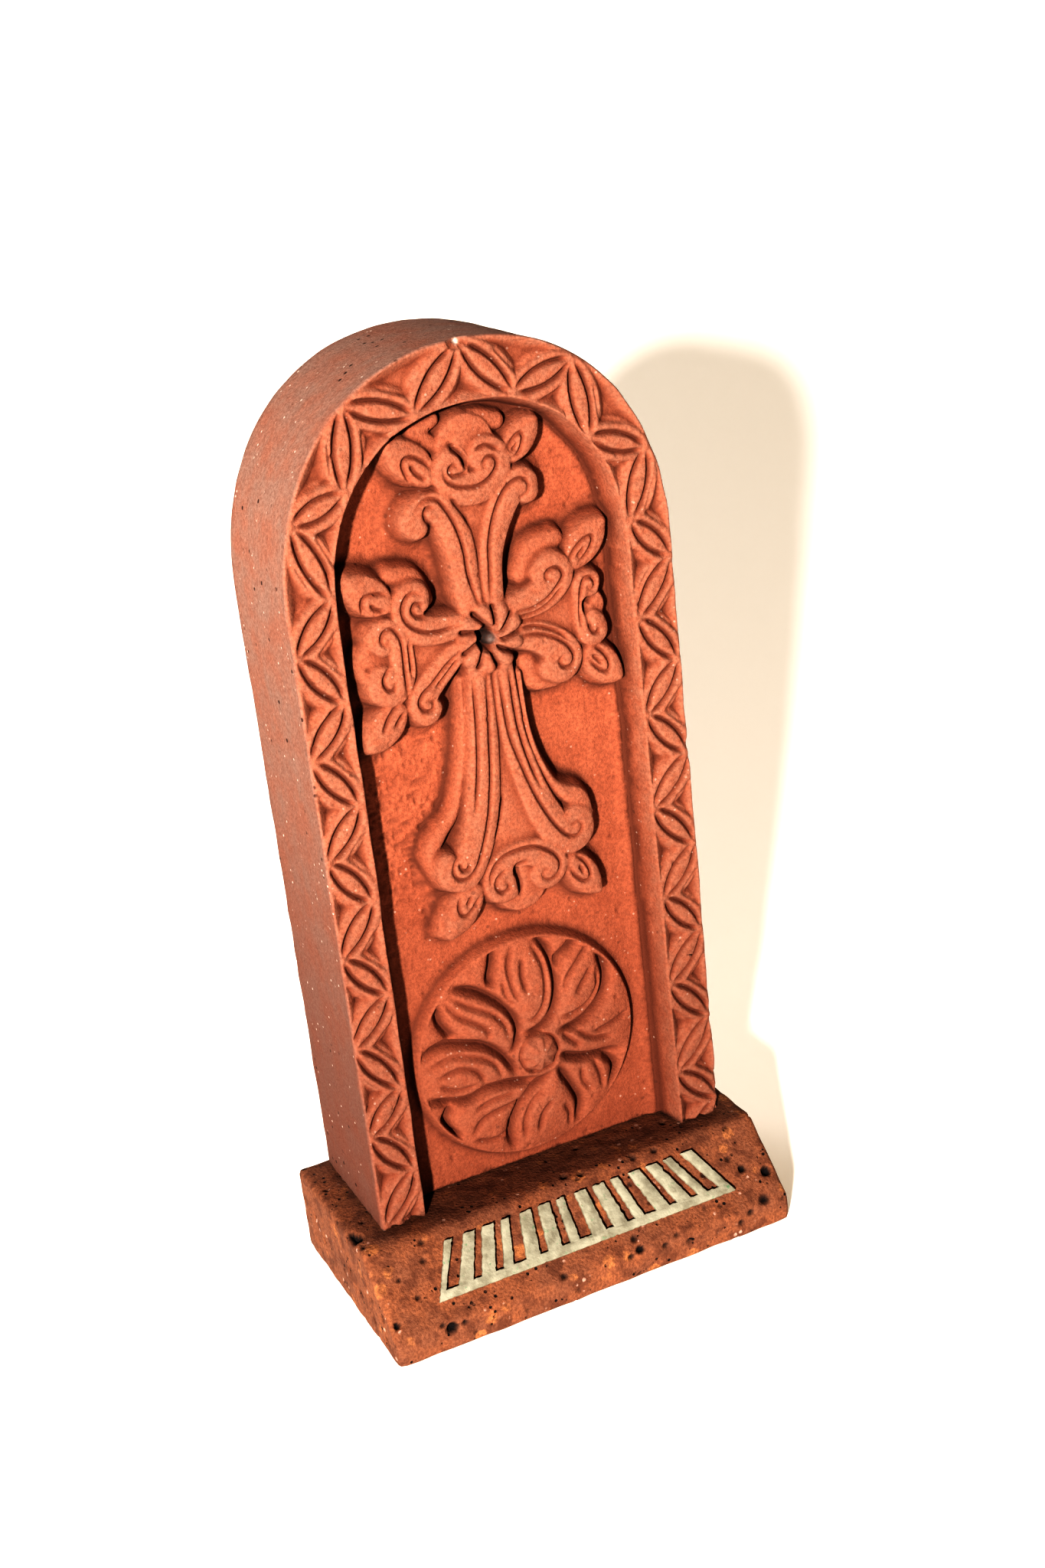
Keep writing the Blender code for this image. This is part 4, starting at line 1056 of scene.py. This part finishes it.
# Near-black painted shade for pits and pinholes.
PAINTED_PIT_SHADE = (0.012, 0.008, 0.008)
RUSTY_CLOUDS = dict(size=6.0, low=0.38, high=0.66, detail=5.0, rough=0.62)
CLASTS = dict(apart=4.2, outer=0.5, inner=0.44, cluster=8.0, low=0.5, high=0.56, frayed=(1.5, 0.35))
FLAKES = dict(apart=2.1, outer=0.32, inner=0.26, cluster=5.0, low=0.54, high=0.6, frayed=(0.7, 0.25))
PINHOLES = dict(apart=1.25, outer=0.24, inner=0.16, cluster=3.4, low=0.54, high=0.6)
CLAST_SHARE = 0.75
STAIN_SHARE = 0.7
FLAKE_SHARE = 0.7
# How strongly the painted shade darkens the plinth's top at the slab's foot.
PAINTED_CORNER_SHADE_SHARE = 0.45
PINHOLE_BUMP = 1.4

plinth_tuff, tree, shader, place = bare_material("plinth_tuff", roughness=0.85)
fine = noise(tree, place, 0.5, rough=0.6)
colour = mixed(tree, patches(tree, place, **RUSTY_CLOUDS), COARSE, RUSTY)
colour = mixed(tree, times(tree, spots(tree, place, **CLASTS), CLAST_SHARE), colour, OCHRE)
colour = mixed(tree, times(tree, patches(tree, place, 2.6, 0.50, 0.64), STAIN_SHARE), colour, DULL)
colour = mixed(tree, ramp(tree, fine, 0.38, 0.62, top=0.55), colour, DULL)
colour = mixed(tree, times(tree, spots(tree, place, **FLAKES), FLAKE_SHARE), colour, ROSY)
# Painted shade in pinholes, which are also bumped down.
pinhole = spots(tree, place, **PINHOLES)
colour = mixed(tree, pinhole, colour, PAINTED_PIT_SHADE)
# Painted shade on the plinth's top where it meets the slab.
colour = mixed(tree, times(tree, attribute(tree, "corner"), PAINTED_CORNER_SHADE_SHARE), colour, PAINTED_SHADE)
# Painted shade in the pits, darkest where they are deepest.
colour = mixed(tree, attribute(tree, "pit_painted_shade"), colour, PAINTED_PIT_SHADE)
bumps = arithmetic(tree, "SUBTRACT", fine, times(tree, pinhole, PINHOLE_BUMP))
dress(plinth_stone, plinth_tuff, tree, shader, colour, bumps, bump_mm=0.22)
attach(plinth_stone, "root")
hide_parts("plinth")

# The strip on the slope is a thin sheet of pale greenish stone, cut out as upright strokes on one bar and
# glued down. Its edges are rubbed, and it is stained green and brown in places.
STRIP_LONG = 57.0
STRIP_TAPER = 0.84
STRIP_HIGH = 9.3
STRIP_BAR = 1.6
STRIP_THICK = 0.75
STRIP_GAP = 0.05
STROKES = 14
STROKE_WIDE = 0.62
STROKE_NARROW = 0.42
STRIP_DOWN = 2.7
RUB = 0.16
RUB_STEP = 0.45
RUBBED_EDGE = 0.12

pitch = STRIP_LONG / (STROKES - 1 + STROKE_WIDE)
corners = [(-STRIP_LONG / 2, 0.0)]
for n in range(STROKES):
    left_edge = -STRIP_LONG / 2 + pitch * n
    right_edge = left_edge + pitch * (STROKE_WIDE if n % 3 or n == STROKES - 1 else STROKE_NARROW)
    corners += [(left_edge * STRIP_TAPER, STRIP_HIGH), (right_edge * STRIP_TAPER, STRIP_HIGH)]
    if n < STROKES - 1:
        corners += [(right_edge, STRIP_BAR), (left_edge + pitch, STRIP_BAR)]
corners.append((STRIP_LONG / 2, 0.0))

dice = np.random.default_rng(41)
edge = []
for a, b in zip(corners, corners[1:] + corners[:1]):
    steps = max(int(math.dist(a, b) / RUB_STEP), 1)
    for step in range(steps):
        nudge = dice.normal(0, RUB / 3 if step else RUB / 6, 2)
        x, up = [p + (q - p) * step / steps + off for p, q, off in zip(a, b, nudge)]
        edge.append((x, max(up, 0.0)))
sheet = bmesh.new()
base = sheet.faces.new([sheet.verts.new((x * MM, up * MM, STRIP_GAP * MM)) for x, up in edge])
raised = bmesh.ops.extrude_face_region(sheet, geom=[base])
lifted = [v for v in raised["geom"] if isinstance(v, bmesh.types.BMVert)]
bmesh.ops.translate(sheet, verts=lifted, vec=(0, 0, STRIP_THICK * MM))
bmesh.ops.recalc_face_normals(sheet, faces=sheet.faces)
pale_strip = shaped("pale_strip", sheet)
slope = math.atan2(PLINTH_HIGH - LIP, SLOPE_RUN)
down = STRIP_DOWN + STRIP_HIGH
pale_strip.rotation_euler = (slope, 0.0, 0.0)
pale_strip.location = (
    0.0,
    plinth_low.y + (SLOPE_RUN - down * math.cos(slope)) * MM,
    plinth_low.z + (PLINTH_HIGH - down * math.sin(slope)) * MM,
)
soft_edge = pale_strip.modifiers.new("rubbed edge", "BEVEL")
soft_edge.width = RUBBED_EDGE * MM
soft_edge.segments = 2
soft_edge.limit_method = "ANGLE"
soft_edge.angle_limit = math.radians(60)
mesh = settle(pale_strip)
mesh.set_sharp_from_angle(angle=math.radians(40))

PALE = (0.30, 0.285, 0.225)
PALE_WORN = (0.20, 0.185, 0.14)
VERDIGRIS = (0.10, 0.20, 0.11)

strip_stone, tree, shader, place = bare_material("pale_strip", roughness=0.75)
colour = mixed(tree, patches(tree, place, 2.2, 0.4, 0.65, detail=4.0), PALE, PALE_WORN)
for shade, size, low, high, top in ((VERDIGRIS, 1.3, 0.62, 0.7, 0.75), (COARSE, 0.8, 0.66, 0.72, 0.8)):
    stain = patches(tree, place, size, low, high, top=top, detail=4.0, rough=0.7)
    colour = mixed(tree, stain, colour, shade)
dress(pale_strip, strip_stone, tree, shader, colour, noise(tree, place, 0.5), bump_mm=0.1)
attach(pale_strip, "root")
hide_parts("front_strip")

# The setting: a plain pale sweep of paper that bends up behind, a small lamp low on the left, a window
# above, faint daylight all round, and the camera at the photograph's place.
SWEEP_FAR = 0.66
SWEEP_ROUND = 0.6
SWEEP_HALF = 4.0
SWEEP_BELOW = 0.00005
sweep = [(-3.0, 0.0), (SWEEP_FAR - SWEEP_ROUND, 0.0)]
for a in np.linspace(0.03, math.pi / 2, 48):
    sweep.append((SWEEP_FAR + SWEEP_ROUND * (math.sin(a) - 1), SWEEP_ROUND * (1 - math.cos(a))))
sweep.append((SWEEP_FAR, 3.0))
ground_z = plinth_low.z - SWEEP_BELOW
verts = [(side, back, ground_z + up) for side in (-SWEEP_HALF, SWEEP_HALF) for back, up in sweep]
n = len(sweep)
floor = mesh_piece("floor", verts, [(k, n + k, n + k + 1, k + 1) for k in range(n - 1)])
floor_paint, tree, shader, place = bare_material("floor", roughness=0.9)
shader.inputs["Base Color"].default_value = (0.88, 0.88, 0.90, 1.0)
shader.inputs["Emission Color"].default_value = (1.0, 0.82, 0.58, 1.0)
shader.inputs["Emission Strength"].default_value = 0.25
floor.data.materials.append(floor_paint)

LAMP_AIM = Vector((0.0, 0.0, 0.150))
LAMP_AWAY = 1.2
LAMP_LEFT = 35.5
LAMP_UP = 11.0
LAMP_WIDE = 0.06
LAMP_BEAM = 62.0
LAMP_WATTS = 122.0
lamp_data = bpy.data.lights.new("lamp", "SPOT")
lamp_data.spot_size = math.radians(LAMP_BEAM)
lamp_data.spot_blend = 1.0
lamp_data.shadow_soft_size = LAMP_WIDE / 2
lamp_data.energy = LAMP_WATTS
lamp_data.color = (1.0, 0.95, 0.88)
lamp = placed("lamp", lamp_data)
left, up = math.radians(LAMP_LEFT), math.radians(LAMP_UP)
away = Vector((-math.sin(left) * math.cos(up), -math.cos(left) * math.cos(up), math.sin(up)))
lamp.location = LAMP_AIM + away * LAMP_AWAY
lamp.rotation_euler = away.to_track_quat("Z", "Y").to_euler()

WINDOW_AT = Vector((-0.35, 0.55, 0.85))
WINDOW_WATTS = 2.6
window_data = bpy.data.lights.new("window", "AREA")
window_data.size = 0.5
window_data.energy = WINDOW_WATTS
window_data.color = (1.0, 0.97, 0.95)
window = placed("window", window_data)
window.location = WINDOW_AT
window.rotation_euler = WINDOW_AT.to_track_quat("Z", "Y").to_euler()

DAYLIGHT = 0.03
world = bpy.data.worlds.new("daylight")
world.use_nodes = True
sky = world.node_tree.nodes["Background"]
sky.inputs["Color"].default_value = (1.0, 0.98, 0.95, 1.0)
sky.inputs["Strength"].default_value = DAYLIGHT
bpy.context.scene.world = world
bpy.context.scene.view_settings.view_transform = "Standard"
bpy.context.scene.view_settings.look = "Very High Contrast"
bpy.context.scene.view_settings.gamma = 0.9

CAMERA_AT = (-0.11863, -0.28467, 0.21099)
CAMERA_TURN = -22.84
CAMERA_DIP = 21.09
CAMERA_ROLL = -6.83
camera_data = bpy.data.cameras.new("camera")
camera_data.sensor_width = 36.0
camera_data.lens = 46.46
camera_data.shift_x = 0.0163
camera_data.shift_y = -0.0174
camera_data.clip_start = 0.01
camera = placed("camera", camera_data)
view = Matrix.Translation(CAMERA_AT)
for degrees, axis in ((CAMERA_TURN, "Z"), (90 - CAMERA_DIP, "X"), (CAMERA_ROLL, "Z")):
    view = view @ Matrix.Rotation(math.radians(degrees), 4, axis)
camera.matrix_world = view
bpy.context.scene.camera = camera
